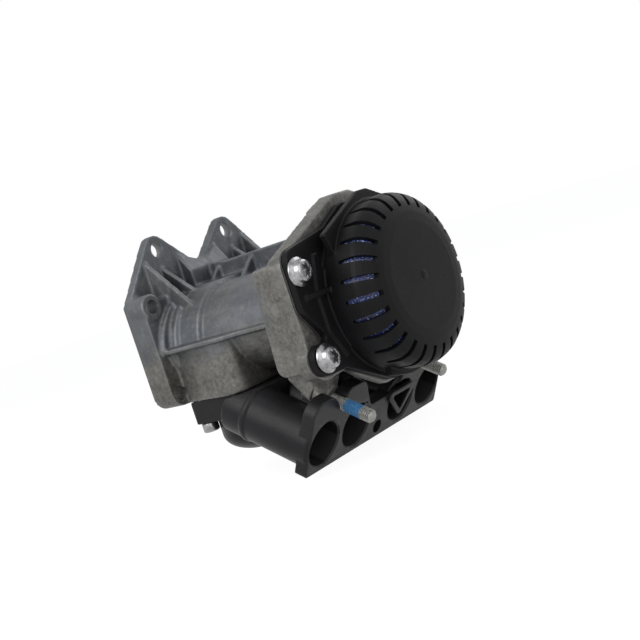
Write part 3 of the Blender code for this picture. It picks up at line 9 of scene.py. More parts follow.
import json
import logging
import math
from dataclasses import dataclass
from enum import Enum
from typing import Callable, Optional, Sequence, Union

import bpy
from mathutils import Matrix, Vector


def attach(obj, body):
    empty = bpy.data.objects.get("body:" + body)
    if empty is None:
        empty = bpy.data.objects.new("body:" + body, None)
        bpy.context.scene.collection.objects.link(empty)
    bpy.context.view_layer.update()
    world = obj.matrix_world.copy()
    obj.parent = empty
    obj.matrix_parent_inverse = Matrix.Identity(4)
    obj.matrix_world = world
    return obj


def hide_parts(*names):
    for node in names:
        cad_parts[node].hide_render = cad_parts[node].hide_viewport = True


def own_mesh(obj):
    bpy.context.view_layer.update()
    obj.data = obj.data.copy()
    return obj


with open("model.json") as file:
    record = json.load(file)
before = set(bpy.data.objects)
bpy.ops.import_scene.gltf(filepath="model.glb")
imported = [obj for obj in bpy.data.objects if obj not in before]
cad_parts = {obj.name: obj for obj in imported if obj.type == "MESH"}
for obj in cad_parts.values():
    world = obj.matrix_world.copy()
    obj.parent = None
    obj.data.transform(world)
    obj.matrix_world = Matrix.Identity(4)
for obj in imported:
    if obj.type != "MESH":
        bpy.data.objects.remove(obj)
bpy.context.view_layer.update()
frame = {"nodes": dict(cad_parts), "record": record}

LOG = logging.getLogger("foot_valve")
MM = 0.001  # one millimetre in metres
WELD = 1e-6  # points closer than this, in metres, are merged after a spin
SLIVER = 1e-7  # edges shorter than this, in metres, are dissolved after a spin
Point2 = tuple[float, float]
Corner = tuple[float, float, float]
Colour = tuple[float, float, float]
Solid = bpy.types.Object
Material = bpy.types.Material
Socket = bpy.types.NodeSocket
Value = Union[Socket, float]
Paint = Union[Socket, Colour]
ORIGIN = Vector((0.0, 0.0, 0.0))
ALONG = Vector((1.0, 0.0, 0.0))
UPWARD = Vector((0.0, 0.0, 1.0))


class Solver(Enum):
    """Way that a cut is worked out: exact, or quick for closed solids of many faces."""

    EXACT = "EXACT"
    QUICK = "MANIFOLD"


class Plane(Enum):
    """Plane that an outline is drawn in."""

    YZ = "yz"
    XZ = "xz"
    XY = "xy"
    PORT = "port"


@dataclass(frozen=True)
class Places:
    """Places and hole sizes that several sub-assemblies share.

    Ports and studs are given across and up the port plate, cap screws by Y and Z, and manifold
    bolts by X, Y and their length in the casting.
    """

    ports: tuple[float, ...] = (-56.0, -24.0, 24.0, 56.0)
    port_depth: float = 34.0
    studs: tuple[Point2, ...] = ((-41.5, 20.3), (36.2, 23.7))
    stud_seat: float = -8.3
    cap_screws: tuple[Point2, ...] = ((-66.0, -24.0), (-66.0, 24.0), (66.0, -24.0), (66.0, 24.0))
    thread_hole: float = 4.2
    bolts: tuple[Corner, ...] = ((24.0, -54.0, 14.0), (24.0, 54.0, 14.0), (58.0, 0.0, 7.5))
    bolt_hole: float = 3.3
    feed: Point2 = (46.0, 34.0)
    feed_radius: float = 9.0
    gable: float = math.radians(22.4)


PLACES = Places()


@dataclass(frozen=True)
class PortFrame:
    """Axes of the tilted port plate."""

    tilt: float = math.radians(31.6)
    centre: Corner = (107.4, 0.0, -72.6)

    @property
    def normal(self) -> Vector:
        """Direction that the ports face."""
        return Vector((math.cos(self.tilt), 0.0, -math.sin(self.tilt)))

    @property
    def up(self) -> Vector:
        """Direction up the plate's face."""
        return Vector((math.sin(self.tilt), 0.0, math.cos(self.tilt)))

    def point(self, out: float, across: float, up: float) -> Vector:
        """Point by its distance out of the face, across it and up it, in millimetres."""
        return Vector(self.centre) + self.normal * out + self.up * up + Vector((0.0, across, 0.0))


PORTS = PortFrame()


class Outline:
    """Shapes drawn flat, as lists of points in millimetres."""

    @staticmethod
    def arc(centre: Point2, radius: float, start: float, end: float, steps: int) -> list[Point2]:
        """Points on an arc.

        Args:
            centre: centre of the arc.
            radius: radius of the arc.
            start: first angle in degrees.
            end: last angle in degrees.
            steps: number of chords.

        Returns:
            steps + 1 points.
        """
        turns = [math.radians(start + (end - start) * step / steps) for step in range(steps + 1)]
        return [(centre[0] + radius * math.cos(a), centre[1] + radius * math.sin(a)) for a in turns]

    @staticmethod
    def circle(centre: Point2, radius: float, count: int = 48) -> list[Point2]:
        """Points of a full circle.

        Args:
            centre: centre of the circle.
            radius: its radius.
            count: number of points.

        Returns:
            The points, each once.
        """
        return Outline.arc(centre, radius, 0.0, 360.0 - 360.0 / count, count - 1)

    @staticmethod
    def rounded(corners: Sequence[Corner], steps: int = 8) -> list[Point2]:
        """Outline with its corners rounded.

        Args:
            corners: (a, b, radius) for each corner, in order.
            steps: chords for each rounded corner.

        Returns:
            The closed outline's points.
        """
        points: list[Point2] = []
        for index, (a, b, radius) in enumerate(corners):
            here = Vector((a, b))
            if radius <= 0.0:
                points.append((a, b))
                continue
            before = Vector(corners[index - 1][:2]) - here
            after = Vector(corners[(index + 1) % len(corners)][:2]) - here
            half = before.angle(after) / 2
            reach = min(radius / math.tan(half), before.length * 0.49, after.length * 0.49)
            size = reach * math.tan(half)
            middle = here + (before.normalized() + after.normalized()).normalized() * size / math.sin(half)
            start = here + before.normalized() * reach - middle
            end = here + after.normalized() * reach - middle
            first = math.atan2(start.y, start.x)
            turn = (math.atan2(end.y, end.x) - first + math.pi) % (2 * math.pi) - math.pi
            for step in range(steps + 1):
                angle = first + turn * step / steps
                points.append((middle.x + size * math.cos(angle), middle.y + size * math.sin(angle)))
        return points

    @staticmethod
    def symmetric(corners: Sequence[Corner], a_sign: float = -1.0, b_sign: float = 1.0) -> list[Point2]:
        """Rounded outline of one half's corners and their mirror images.

        Args:
            corners: (a, b, radius) for each corner of one half, in order.
            a_sign: what a is multiplied by in the image.
            b_sign: what b is multiplied by in the image.

        Returns:
            The closed outline's points.
        """
        image = [(a * a_sign, b * b_sign, radius) for a, b, radius in reversed(corners)]
        return Outline.rounded(list(corners) + image)

    @staticmethod
    def band(low: float, high: float, outer: float, inner: float = 0.0) -> list[Point2]:
        """Half section of a plain rod, disc or ring between two depths."""
        return [(low, inner), (low, outer), (high, outer), (high, inner)]

    @staticmethod
    def grooves(start: float, end: float, pitch: float, radius: float, depth: float,
                crest: Point2) -> list[Point2]:
        """Half section of ring grooves, which stand for a thread.

        Args:
            start: where the first groove starts.
            end: no groove starts past this.
            pitch: distance from groove to groove.
            radius: radius of the crests.
            depth: depth of the grooves.
            crest: start and end of each crest, as shares of the pitch.

        Returns:
            Three points for each groove.
        """
        points: list[Point2] = []
        while start < end:
            points += [(start, radius - depth), (start + pitch * crest[0], radius),
                       (start + pitch * crest[1], radius)]
            start += pitch
        return points


class Bench:
    """Modelling steps, each made with Blender's own operators."""

    @staticmethod
    def clear() -> None:
        """Leave edit mode and deselect everything."""
        if bpy.context.mode != "OBJECT":
            bpy.ops.object.mode_set(mode="OBJECT")
        bpy.ops.object.select_all(action="DESELECT")

    @classmethod
    def pick(cls, piece: Solid) -> None:
        """Make one object the only selected and active one.

        Args:
            piece: the object.
        """
        cls.clear()
        piece.select_set(True)
        bpy.context.view_layer.objects.active = piece

    @classmethod
    def edit(cls, piece: Solid, *steps: Callable[[], object]) -> None:
        """Work on a whole mesh in edit mode, and turn its faces outwards at the end.

        Args:
            piece: object to change.
            *steps: operators to call, each with all of the mesh selected.
        """
        cls.pick(piece)
        bpy.ops.object.mode_set(mode="EDIT")
        for step in steps:
            bpy.ops.mesh.select_all(action="SELECT")
            step()
        bpy.ops.mesh.select_all(action="SELECT")
        bpy.ops.mesh.normals_make_consistent(inside=False)
        bpy.ops.object.mode_set(mode="OBJECT")

    @staticmethod
    def place(plane: Plane, a: float, b: float, depth: float) -> Vector:
        """Point in metres of a flat outline's point.

        Args:
            plane: plane of the outline.
            a: first coordinate.
            b: second coordinate.
            depth: distance along the plane's own axis.

        Returns:
            The point in the part's frame.
        """
        if plane is Plane.YZ:
            return Vector((depth, a, b)) * MM
        if plane is Plane.XZ:
            return Vector((a, depth, b)) * MM
        if plane is Plane.XY:
            return Vector((a, b, depth)) * MM
        return PORTS.point(depth, a, b) * MM

    @classmethod
    def ring(cls, name: str, points: Sequence[Vector], filled: bool) -> Solid:
        """Closed loop of edges, or one face, through points.

        Args:
            name: object's name.
            points: loop in metres.
            filled: whether the loop holds a face.

        Returns:
            The new object.
        """
        cls.clear()
        fill = "NGON" if filled else "NOTHING"
        bpy.ops.mesh.primitive_circle_add(vertices=len(points), radius=MM, fill_type=fill)
        piece = bpy.context.active_object
        piece.name = name
        for vertex, point in zip(piece.data.vertices, points):
            vertex.co = point
        return piece

    @classmethod
    def prism(cls, name: str, plane: Plane, outline: Sequence[Point2], low: float, high: float,
              soften: float = 0.0) -> Solid:
        """Extrude an outline square to its plane.

        Args:
            name: object's name.
            plane: plane of the outline.
            outline: points in millimetres.
            low: first depth.
            high: last depth.
            soften: width of the bevel on its rims, or 0.

        Returns:
            A closed solid.
        """
        piece = cls.ring(name, [cls.place(plane, a, b, low) for a, b in outline], True)
        travel = cls.place(plane, 0.0, 0.0, high) - cls.place(plane, 0.0, 0.0, low)
        cls.edit(piece, lambda: bpy.ops.mesh.extrude_region_move(TRANSFORM_OT_translate={"value": travel}))
        if soften > 0.0:
            cls.bevel(piece, soften, 3, 50.0)
        return piece

    @classmethod
    def turn(cls, name: str, profile: Sequence[Point2], steps: int, centre: Vector = ORIGIN,
             direction: Vector = ALONG) -> Solid:
        """Spin a closed (along, radius) profile into a round solid.

        Args:
            name: object's name.
            profile: points in millimetres; radius 0 lies on the axis.
            steps: number of facets round the axis.
            centre: point on the axis where along is 0, in millimetres.
            direction: unit vector of the axis.

        Returns:
            A closed solid.
        """
        origin = centre * MM
        side = Vector((0.0, 1.0, 0.0))
        piece = cls.ring(name, [origin + (direction * a + side * r) * MM for a, r in profile], False)
        cls.edit(piece,
                 lambda: bpy.ops.mesh.spin(steps=steps, angle=2 * math.pi, center=origin, axis=direction),
                 lambda: bpy.ops.mesh.remove_doubles(threshold=WELD),
                 lambda: bpy.ops.mesh.dissolve_degenerate(threshold=SLIVER),
                 lambda: bpy.ops.mesh.delete_loose(use_verts=True, use_edges=True, use_faces=False))
        return piece

    @classmethod
    def port_turn(cls, name: str, profile: Sequence[Point2], steps: int, across: float, up: float = 0.0,
                  out: float = 0.0) -> Solid:
        """Spin a profile about an axis square to the port plate, where along 0 is out from its face."""
        return cls.turn(name, profile, steps, PORTS.point(out, across, up), PORTS.normal)

    @classmethod
    def apply(cls, piece: Solid, kind: str, **settings: object) -> None:
        """Add one modifier and apply it.

        Args:
            piece: object to change.
            kind: Blender's modifier type.
            **settings: the modifier's properties.
        """
        cls.pick(piece)
        modifier = piece.modifiers.new(kind.title(), kind)
        for key, value in settings.items():
            setattr(modifier, key, value)
        bpy.ops.object.modifier_apply(modifier=modifier.name)

    @classmethod
    def bevel(cls, piece: Solid, width: float, segments: int, angle: float) -> None:
        """Round the edges sharper than an angle in degrees by a width in millimetres."""
        cls.apply(piece, "BEVEL", width=width * MM, segments=segments, limit_method="ANGLE",
                  angle_limit=math.radians(angle), use_clamp_overlap=True)

    @classmethod
    def cut(cls, piece: Solid, tool: Solid, solver: Solver = Solver.EXACT) -> None:
        """Cut a tool out of a piece; the tool is used up."""
        cls.apply(piece, "BOOLEAN", operation="DIFFERENCE", solver=solver.value, object=tool)
        bpy.data.objects.remove(tool, do_unlink=True)

    @classmethod
    def merge(cls, name: str, parts: Sequence[Solid]) -> Solid:
        """Join objects into one.

        Args:
            name: name of the result.
            parts: objects to join.

        Returns:
            The joined object.
        """
        cls.clear()
        for part in parts:
            part.select_set(True)
        bpy.context.view_layer.objects.active = parts[0]
        bpy.ops.object.join()
        parts[0].name = name
        return parts[0]

    @classmethod
    def fuse(cls, piece: Solid, voxel: float, smoothing: int, faces: int) -> None:
        """Melt overlapping solids into one skin with small fillets, as a mould leaves it.

        Args:
            piece: joined solids.
            voxel: grid size in millimetres.
            smoothing: rounds of smoothing.
            faces: most triangles to keep.
        """
        cls.apply(piece, "REMESH", mode="VOXEL", voxel_size=voxel * MM, adaptivity=0.0)
        cls.apply(piece, "SMOOTH", factor=0.5, iterations=smoothing)
        cls.apply(piece, "TRIANGULATE")
        count = len(piece.data.polygons)
        if count > faces:
            cls.apply(piece, "DECIMATE", decimate_type="COLLAPSE", ratio=faces / count)

    @classmethod
    def smooth(cls, piece: Solid, angle: float = 32.0) -> None:
        """Shade a piece smooth, but for edges sharper than an angle in degrees."""
        cls.pick(piece)
        bpy.ops.object.shade_smooth_by_angle(angle=math.radians(angle))

    @staticmethod
    def copy(piece: Solid, name: str, by: Vector) -> Solid:
        """Copy a piece with its own mesh.

        Args:
            piece: object to copy.
            name: name of the copy.
            by: how far the copy lies from it, in millimetres.

        Returns:
            The copy.
        """
        twin = piece.copy()
        twin.data = piece.data.copy()
        twin.name = name
        bpy.context.scene.collection.objects.link(twin)
        twin.data.transform(Matrix.Translation(by * MM))
        return twin


class NodeSketch:
    """Short way to write a material's node tree."""

    def __init__(self, name: str) -> None:
        """Start a material with its Principled shader.

        Args:
            name: the material's name.
        """
        self.material = bpy.data.materials.new(name)
        self.material.use_nodes = True
        self.tree = self.material.node_tree
        self.shader = self.tree.nodes["Principled BSDF"]
        self.where = self.add("ShaderNodeTexCoord").outputs["Object"]

    def add(self, kind: str, **settings: object) -> bpy.types.Node:
        """Add a node.

        Args:
            kind: Blender's node type.
            **settings: the node's properties.

        Returns:
            The node.
        """
        node = self.tree.nodes.new(kind)
        for key, value in settings.items():
            setattr(node, key, value)
        return node

    def link(self, source: Socket, target: Socket) -> None:
        """Join two sockets."""
        self.tree.links.new(source, target)

    def feed(self, target: Socket, value: Union[Value, Paint]) -> None:
        """Give an input its value.

        Args:
            target: input socket.
            value: a socket, a number or a colour.
        """
        if isinstance(value, tuple):
            target.default_value = (*value, 1.0)
        elif isinstance(value, (int, float)):
            target.default_value = value
        else:
            self.link(value, target)

    def mapped(self, scale: Corner, turn: float = 0.0) -> Socket:
        """Object coordinates, stretched and turned.

        Args:
            scale: factor along each axis.
            turn: angle about Y, in radians.

        Returns:
            The coordinates' socket.
        """
        node = self.add("ShaderNodeMapping")
        node.inputs["Scale"].default_value = scale
        node.inputs["Rotation"].default_value = (0.0, turn, 0.0)
        self.link(self.where, node.inputs["Vector"])
        return node.outputs["Vector"]

    def noise(self, scale: float, detail: float = 4.0, rough: float = 0.55,
              at: Optional[Socket] = None) -> Socket:
        """Noise texture.

        Args:
            scale: cells in a metre.
            detail: octaves.
            rough: weight of the fine octaves.
            at: coordinates, or the object's own.

        Returns:
            The noise's value socket.
        """
        node = self.add("ShaderNodeTexNoise")
        node.inputs["Scale"].default_value = scale
        node.inputs["Detail"].default_value = detail
        node.inputs["Roughness"].default_value = rough
        self.link(at or self.where, node.inputs["Vector"])
        return node.outputs["Fac"]

    def cells(self, scale: float) -> Socket:
        """Smooth cell pattern.

        Args:
            scale: cells in a metre.

        Returns:
            The distance from a cell's middle.
        """
        node = self.add("ShaderNodeTexVoronoi", feature="SMOOTH_F1")
        node.inputs["Scale"].default_value = scale
        self.link(self.where, node.inputs["Vector"])
        return node.outputs["Distance"]

    def steps(self, value: Socket, low: float, high: float, out_low: float = 0.0,
              out_high: float = 1.0) -> Socket:
        """Map a value from one range to another.

        Args:
            value: socket to map.
            low: start of its range.
            high: end of its range.
            out_low: result at low.
            out_high: result at high.

        Returns:
            The mapped value, clamped.
        """
        node = self.add("ShaderNodeMapRange", clamp=True)
        for name, number in (("From Min", low), ("From Max", high), ("To Min", out_low), ("To Max", out_high)):
            node.inputs[name].default_value = number
        self.link(value, node.inputs["Value"])
        return node.outputs["Result"]

    def maths(self, how: str, first: Value, second: Value = 0.0) -> Socket:
        """One sum on two values.

        Args:
            how: Blender's name of the operation.
            first: a socket or a number.
            second: a socket or a number.

        Returns:
            The result's socket.
        """
        node = self.add("ShaderNodeMath", operation=how)
        self.feed(node.inputs[0], first)
        self.feed(node.inputs[1], second)
        return node.outputs["Value"]

    def blend(self, share: Socket, first: Paint, second: Paint) -> Socket:
        """Mix two colours.

        Args:
            share: share of the second colour.
            first: a socket or a colour.
            second: a socket or a colour.

        Returns:
            The mixed colour's socket.
        """
        node = self.add("ShaderNodeMix", data_type="RGBA")
        self.link(share, node.inputs["Factor"])
        for name, colour in (("A", first), ("B", second)):
            self.feed([s for s in node.inputs if s.name == name and s.type == "RGBA"][0], colour)
        return [s for s in node.outputs if s.type == "RGBA"][0]

    def axis(self, name: str) -> Socket:
        """One coordinate in metres.

        Args:
            name: X, Y or Z.

        Returns:
            The coordinate's socket.
        """
        node = self.add("ShaderNodeSeparateXYZ")
        self.link(self.where, node.inputs[0])
        return node.outputs[name]

    def along(self, direction: Vector, origin: Vector) -> Socket:
        """Distance along a direction, in metres.

        Args:
            direction: unit vector.
            origin: where the distance is 0, in millimetres.

        Returns:
            The distance's socket.
        """
        node = self.add("ShaderNodeVectorMath", operation="DOT_PRODUCT")
        self.link(self.where, node.inputs[0])
        node.inputs[1].default_value = direction
        return self.maths("SUBTRACT", node.outputs["Value"], direction.dot(origin) * MM)

    def edges(self, low: float, high: float) -> Socket:
        """1 on convex edges, 0 elsewhere."""
        node = self.add("ShaderNodeNewGeometry")
        return self.steps(node.outputs["Pointiness"], low, high)

    def bump(self, height: Socket, strength: float, depth: float,
             under: Optional[Socket] = None) -> Socket:
        """Bump from a height.

        Args:
            height: value socket.
            strength: strength from 0 to 1.
            depth: depth in millimetres.
            under: an earlier bump's normal.

        Returns:
            The normal.
        """
        node = self.add("ShaderNodeBump")
        node.inputs["Strength"].default_value = strength
        node.inputs["Distance"].default_value = depth * MM
        self.link(height, node.inputs["Height"])
        if under is not None:
            self.link(under, node.inputs["Normal"])
        return node.outputs["Normal"]

    def dress(self, colour: Paint, roughness: Value, normal: Socket, metallic: Value = 0.0,
              specular: float = 0.5) -> Material:
        """Connect the shader.

        Args:
            colour: base colour.
            roughness: a socket or a number.
            normal: normal socket.
            metallic: a socket or a number.
            specular: specular level.

        Returns:
            The material.
        """
        values = {"Base Color": colour, "Roughness": roughness, "Metallic": metallic, "Specular IOR Level": specular,
                  "Normal": normal}
        for name, value in values.items():
            self.feed(self.shader.inputs[name], value)
        return self.material


@dataclass(frozen=True)
class CastAluminium:
    """Raw die-cast skin: grey and faintly streaked, with blotchy brown and pale staining that is partly painted shade
    low down and at the rear, brighter on its edges.
    """

    dark: Colour = (0.058, 0.063, 0.071)
    light: Colour = (0.118, 0.125, 0.136)
    # Painted shade: this dark brown stands for the shade low down and at the rear, and is blotched with the pale bloom
    # as staining.
    stain_and_shade: Colour = (0.068, 0.063, 0.052)
    bloom: Colour = (0.205, 0.198, 0.178)
    rim: Colour = (0.27, 0.275, 0.275)

    def material(self, name: str) -> Material:
        """Node material of this finish.

        Args:
            name: the material's name.

        Returns:
            The material.
        """
        sketch = NodeSketch(name)
        clouds = sketch.noise(38.0, 6.0, 0.6)
        streaks = sketch.noise(1.0, 5.0, 0.6, sketch.mapped((70.0, 240.0, 22.0)))
        fine = sketch.noise(900.0, 3.0, 0.6)
        mottle = sketch.noise(260.0, 5.0, 0.65)
        tone = sketch.maths("ADD", sketch.maths("MULTIPLY", clouds, 0.5), sketch.maths("MULTIPLY", streaks, 0.5))
        base = sketch.blend(sketch.steps(tone, 0.36, 0.64), self.dark, self.light)
        waver = sketch.steps(sketch.noise(45.0, 5.0, 0.7), 0.3, 0.7, -0.009, 0.009)
        # The lower and rear masks put painted shade on the skin: a blotchy dark brown and pale film below the parting
        # plane and towards the rear. The same film also lies in random large patches as staining.
        lower = sketch.steps(sketch.maths("ADD", sketch.axis("Z"), waver), -0.012, 0.006, 0.75, 0.0)
        rear = sketch.steps(sketch.maths("ADD", sketch.axis("X"), waver), 0.094, 0.112, 0.0, 0.75)
        shade_and_stain_spread = sketch.maths("MAXIMUM", sketch.maths("MAXIMUM", lower, rear),
                              sketch.steps(sketch.noise(24.0, 5.0, 0.7), 0.52, 0.72, 0.0, 0.6))
        blotch = sketch.maths("ADD", sketch.maths("MULTIPLY", sketch.noise(420.0, 6.0, 0.75), 0.55),
                              sketch.maths("MULTIPLY", sketch.noise(70.0, 5.0, 0.7), 0.45))
        film = sketch.blend(sketch.steps(blotch, 0.40, 0.62), self.stain_and_shade, self.bloom)
        stained_and_shaded = sketch.blend(shade_and_stain_spread, base, film)
        spots = sketch.blend(sketch.steps(mottle, 0.55, 0.75, 0.0, 0.35), stained_and_shaded, self.rim)
        rimmed = sketch.blend(sketch.maths("MULTIPLY", sketch.edges(0.515, 0.60), 0.55), spots, self.rim)
        rough = sketch.steps(mottle, 0.3, 0.7, 0.42, 0.62)
        low = sketch.bump(mottle, 0.45, 0.3)
        normal = sketch.bump(fine, 0.35, 0.06, low)
        return sketch.dress(rimmed, rough, normal, 0.6)


@dataclass(frozen=True)
class MouldedPlastic:
    """Black moulded plastic with a faint grain and paler scuffed edges."""

    colour: Colour = (0.004, 0.004, 0.0046)
    scuffed: Colour = (0.013, 0.013, 0.014)
    roughness: float = 0.46
    grain: float = 0.25
    shine: float = 0.1

    def material(self, name: str) -> Material:
        """Node material of this finish.

        Args:
            name: the material's name.

        Returns:
            The material.
        """
        sketch = NodeSketch(name)
        clouds = sketch.noise(30.0, 4.0, 0.6)
        fibres = sketch.noise(1.0, 5.0, 0.7, sketch.mapped((420.0, 300.0, 1400.0), 0.35))
        grain = sketch.noise(2600.0, 2.0, 0.5)
        flow = sketch.steps(clouds, 0.35, 0.7, 0.0, 0.35)
        base = sketch.blend(flow, self.colour, self.scuffed)
        rubbed = sketch.blend(sketch.maths("MULTIPLY", sketch.edges(0.52, 0.62), 0.8), base, self.scuffed)
        rough = sketch.maths("ADD", sketch.steps(fibres, 0.35, 0.7, -0.05, 0.08), self.roughness)
        normal = sketch.bump(fibres, 0.12, 0.05, sketch.bump(grain, self.grain, 0.03))
        return sketch.dress(rubbed, rough, normal, 0.0, self.shine)


@dataclass(frozen=True)
class PlatedSteel:
    """Turned or rolled steel under a plating, with fine scratches."""

    colour: Colour = (0.40, 0.40, 0.415)
    shade: Colour = (0.17, 0.165, 0.165)
    roughness: float = 0.27

    def material(self, name: str) -> Material:
        """Node material of this finish.

        Args:
            name: the material's name.

        Returns:
            The material.
        """
        sketch = NodeSketch(name)
        clouds = sketch.noise(260.0, 4.0, 0.6)
        scratches = sketch.noise(1.0, 4.0, 0.7, sketch.mapped((2600.0, 500.0, 900.0), 0.6))
        base = sketch.blend(sketch.steps(clouds, 0.35, 0.72), self.colour, self.shade)
        rough = sketch.maths("ADD", sketch.steps(scratches, 0.3, 0.7, -0.06, 0.14), self.roughness)
        return sketch.dress(base, rough, sketch.bump(scratches, 0.2, 0.02), 1.0)


@dataclass(frozen=True)
class LockedStud:
    """Stud steel with dull rust in its grooves and, where asked, a dried blue locking patch."""

    steel: Colour = (0.26, 0.26, 0.245)
    rust: Colour = (0.11, 0.085, 0.06)
    patch: Colour = (0.022, 0.125, 0.30)
    chalk: Colour = (0.075, 0.25, 0.44)
    dried: Colour = (0.75, 0.75, 0.75)
    foot: Corner = (118.0, -41.5, -55.3)
    patched: bool = True

    def material(self, name: str) -> Material:
        """Node material of this finish.

        Args:
            name: the material's name.

        Returns:
            The material.
        """
        sketch = NodeSketch(name)
        spots = sketch.noise(700.0, 5.0, 0.65)
        base = sketch.blend(sketch.steps(spots, 0.5, 0.7, 0.0, 0.6), self.steel, self.rust)
        rough = sketch.steps(spots, 0.3, 0.7, 0.3, 0.55)
        normal = sketch.bump(spots, 0.25, 0.05)
        if not self.patched:
            return sketch.dress(base, rough, normal, 0.9)
        reach = sketch.along(PORTS.normal, Vector(self.foot))
        fray = sketch.steps(sketch.noise(500.0, 4.0, 0.6), 0.2, 0.8, -0.0016, 0.0016)
        ragged = sketch.maths("ADD", reach, fray)
        near = sketch.steps(ragged, 0.0012, 0.0020)
        far = sketch.steps(ragged, 0.0118, 0.0126, 1.0, 0.0)
        mask = sketch.maths("MULTIPLY", near, far)
        chalk = sketch.blend(sketch.steps(sketch.noise(900.0, 3.0, 0.6), 0.4, 0.7), self.patch, self.chalk)
        colour = sketch.blend(mask, base, chalk)
        metallic = sketch.steps(mask, 0.0, 1.0, 0.9, 0.0)
        return sketch.dress(colour, sketch.blend(mask, rough, self.dried), normal, metallic)


@dataclass(frozen=True)
class KnittedFilter:
    """Blue knitted mesh of fine glossy thread."""

    deep: Colour = (0.001, 0.004, 0.034)
    thread: Colour = (0.006, 0.028, 0.22)
    glint: Colour = (0.40, 0.52, 0.90)

    def material(self, name: str) -> Material:
        """Node material of this finish.

        Args:
            name: the material's name.

        Returns:
            The material.
        """
        sketch = NodeSketch(name)
        loops = sketch.cells(620.0)
        fine = sketch.noise(1500.0, 3.0, 0.6)
        base = sketch.blend(sketch.steps(loops, 0.15, 0.55), self.thread, self.deep)
        glints = sketch.steps(sketch.noise(900.0, 2.0, 0.5), 0.60, 0.68)
        colour = sketch.blend(glints, base, self.glint)
        normal = sketch.bump(loops, 0.9, 0.5, sketch.bump(fine, 0.5, 0.1))
        return sketch.dress(colour, 0.45, normal, 0.0, 0.6)


@dataclass(frozen=True)
class Rubber:
    """Black moulded rubber with a dusty bloom."""

    colour: Colour = (0.014, 0.014, 0.014)
    bloom: Colour = (0.045, 0.043, 0.040)

    def material(self, name: str) -> Material:
        """Node material of this finish.

        Args:
            name: the material's name.

        Returns:
            The material.
        """
        sketch = NodeSketch(name)
        dust = sketch.noise(120.0, 5.0, 0.65)
        grain = sketch.noise(2200.0, 2.0, 0.5)
        base = sketch.blend(sketch.steps(dust, 0.4, 0.7), self.colour, self.bloom)
        rough = sketch.steps(dust, 0.3, 0.7, 0.62, 0.85)
        return sketch.dress(base, rough, sketch.bump(grain, 0.3, 0.03), 0.0, 0.35)


@dataclass(frozen=True)
class TurnedMetal:
    """Turned metal with concentric tool marks round the main bore's axis."""

    colour: Colour = (0.50, 0.52, 0.54)
    shade: Colour = (0.36, 0.38, 0.40)
    roughness: float = 0.3

    def material(self, name: str) -> Material:
        """Node material of this finish.

        Args:
            name: the material's name.

        Returns:
            The material.
        """
        sketch = NodeSketch(name)
        y, z = sketch.axis("Y"), sketch.axis("Z")
        radius = sketch.maths("SQRT", sketch.maths("ADD", sketch.maths("MULTIPLY", y, y),
                                                  sketch.maths("MULTIPLY", z, z)))
        marks = sketch.maths("SINE", sketch.maths("MULTIPLY", radius, 16000.0))
        clouds = sketch.noise(140.0, 4.0, 0.6)
        base = sketch.blend(sketch.steps(clouds, 0.35, 0.7), self.colour, self.shade)
        rough = sketch.maths("ADD", sketch.steps(clouds, 0.3, 0.7, -0.04, 0.08), self.roughness)
        return sketch.dress(base, rough, sketch.bump(marks, 0.15, 0.01), 1.0)


class Finishes:
    """The valve's materials, each made once and kept by the record's material slots."""

    def __init__(self) -> None:
        """Make every material."""
        manifold = MouldedPlastic((0.006, 0.006, 0.007), (0.034, 0.034, 0.036), 0.40, 0.35, 0.17)
        inner = MouldedPlastic((0.05, 0.05, 0.055), (0.12, 0.12, 0.125), 0.5, 0.3, 0.4)
        brass = TurnedMetal((0.62, 0.45, 0.20), (0.45, 0.32, 0.14), 0.32)
        self.slots = {
            "casting": CastAluminium().material("die_cast_skin"),
            "cap_plastic": MouldedPlastic().material("cap_moulding"),
            "manifold_plastic": manifold.material("manifold_moulding"),
            "zinc": PlatedSteel().material("zinc_plating"),
            "steel": PlatedSteel((0.34, 0.34, 0.34), (0.18, 0.18, 0.18), 0.35).material("spring_steel"),
            "filter": KnittedFilter().material("filter_knit"),
            "rubber": Rubber().material("black_rubber"),
            "anodised": TurnedMetal().material("anodised_turning"),
            "brass": brass.material("brass_turning"),
            "inner_plastic": inner.material("inner_moulding"),
        }
        self.studs = {
            "left": LockedStud().material("stud_with_patch"),
            "right": LockedStud(patched=False).material("stud_steel"),
        }

    def dress(self, piece: Solid, slot: str, body: str, *nodes: str, finish: Optional[Material] = None) -> None:
        """Give a finished piece its material and its place in the model.

        Args:
            piece: finished mesh.
            slot: the record's material slot.
            body: CAD body that it rides on.
            *nodes: CAD nodes that it stands for.
            finish: its material, where it isn't the slot's own.
        """
        piece.data.materials.clear()
        piece.data.materials.append(finish or self.slots[slot])
        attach(piece, body)
        if nodes:
            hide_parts(*nodes)
        LOG.info("%s: %d faces", piece.name, len(piece.data.polygons))

    def dress_nodes(self) -> None:
        """Give the CAD nodes that still show a material of their kind."""
        slots = {part["node"]: part["material_slot"] for part in frame["record"]["subparts"]}
        for name, node in frame["nodes"].items():
            node.data.materials.clear()
            node.data.materials.append(self.slots[slots[name]])


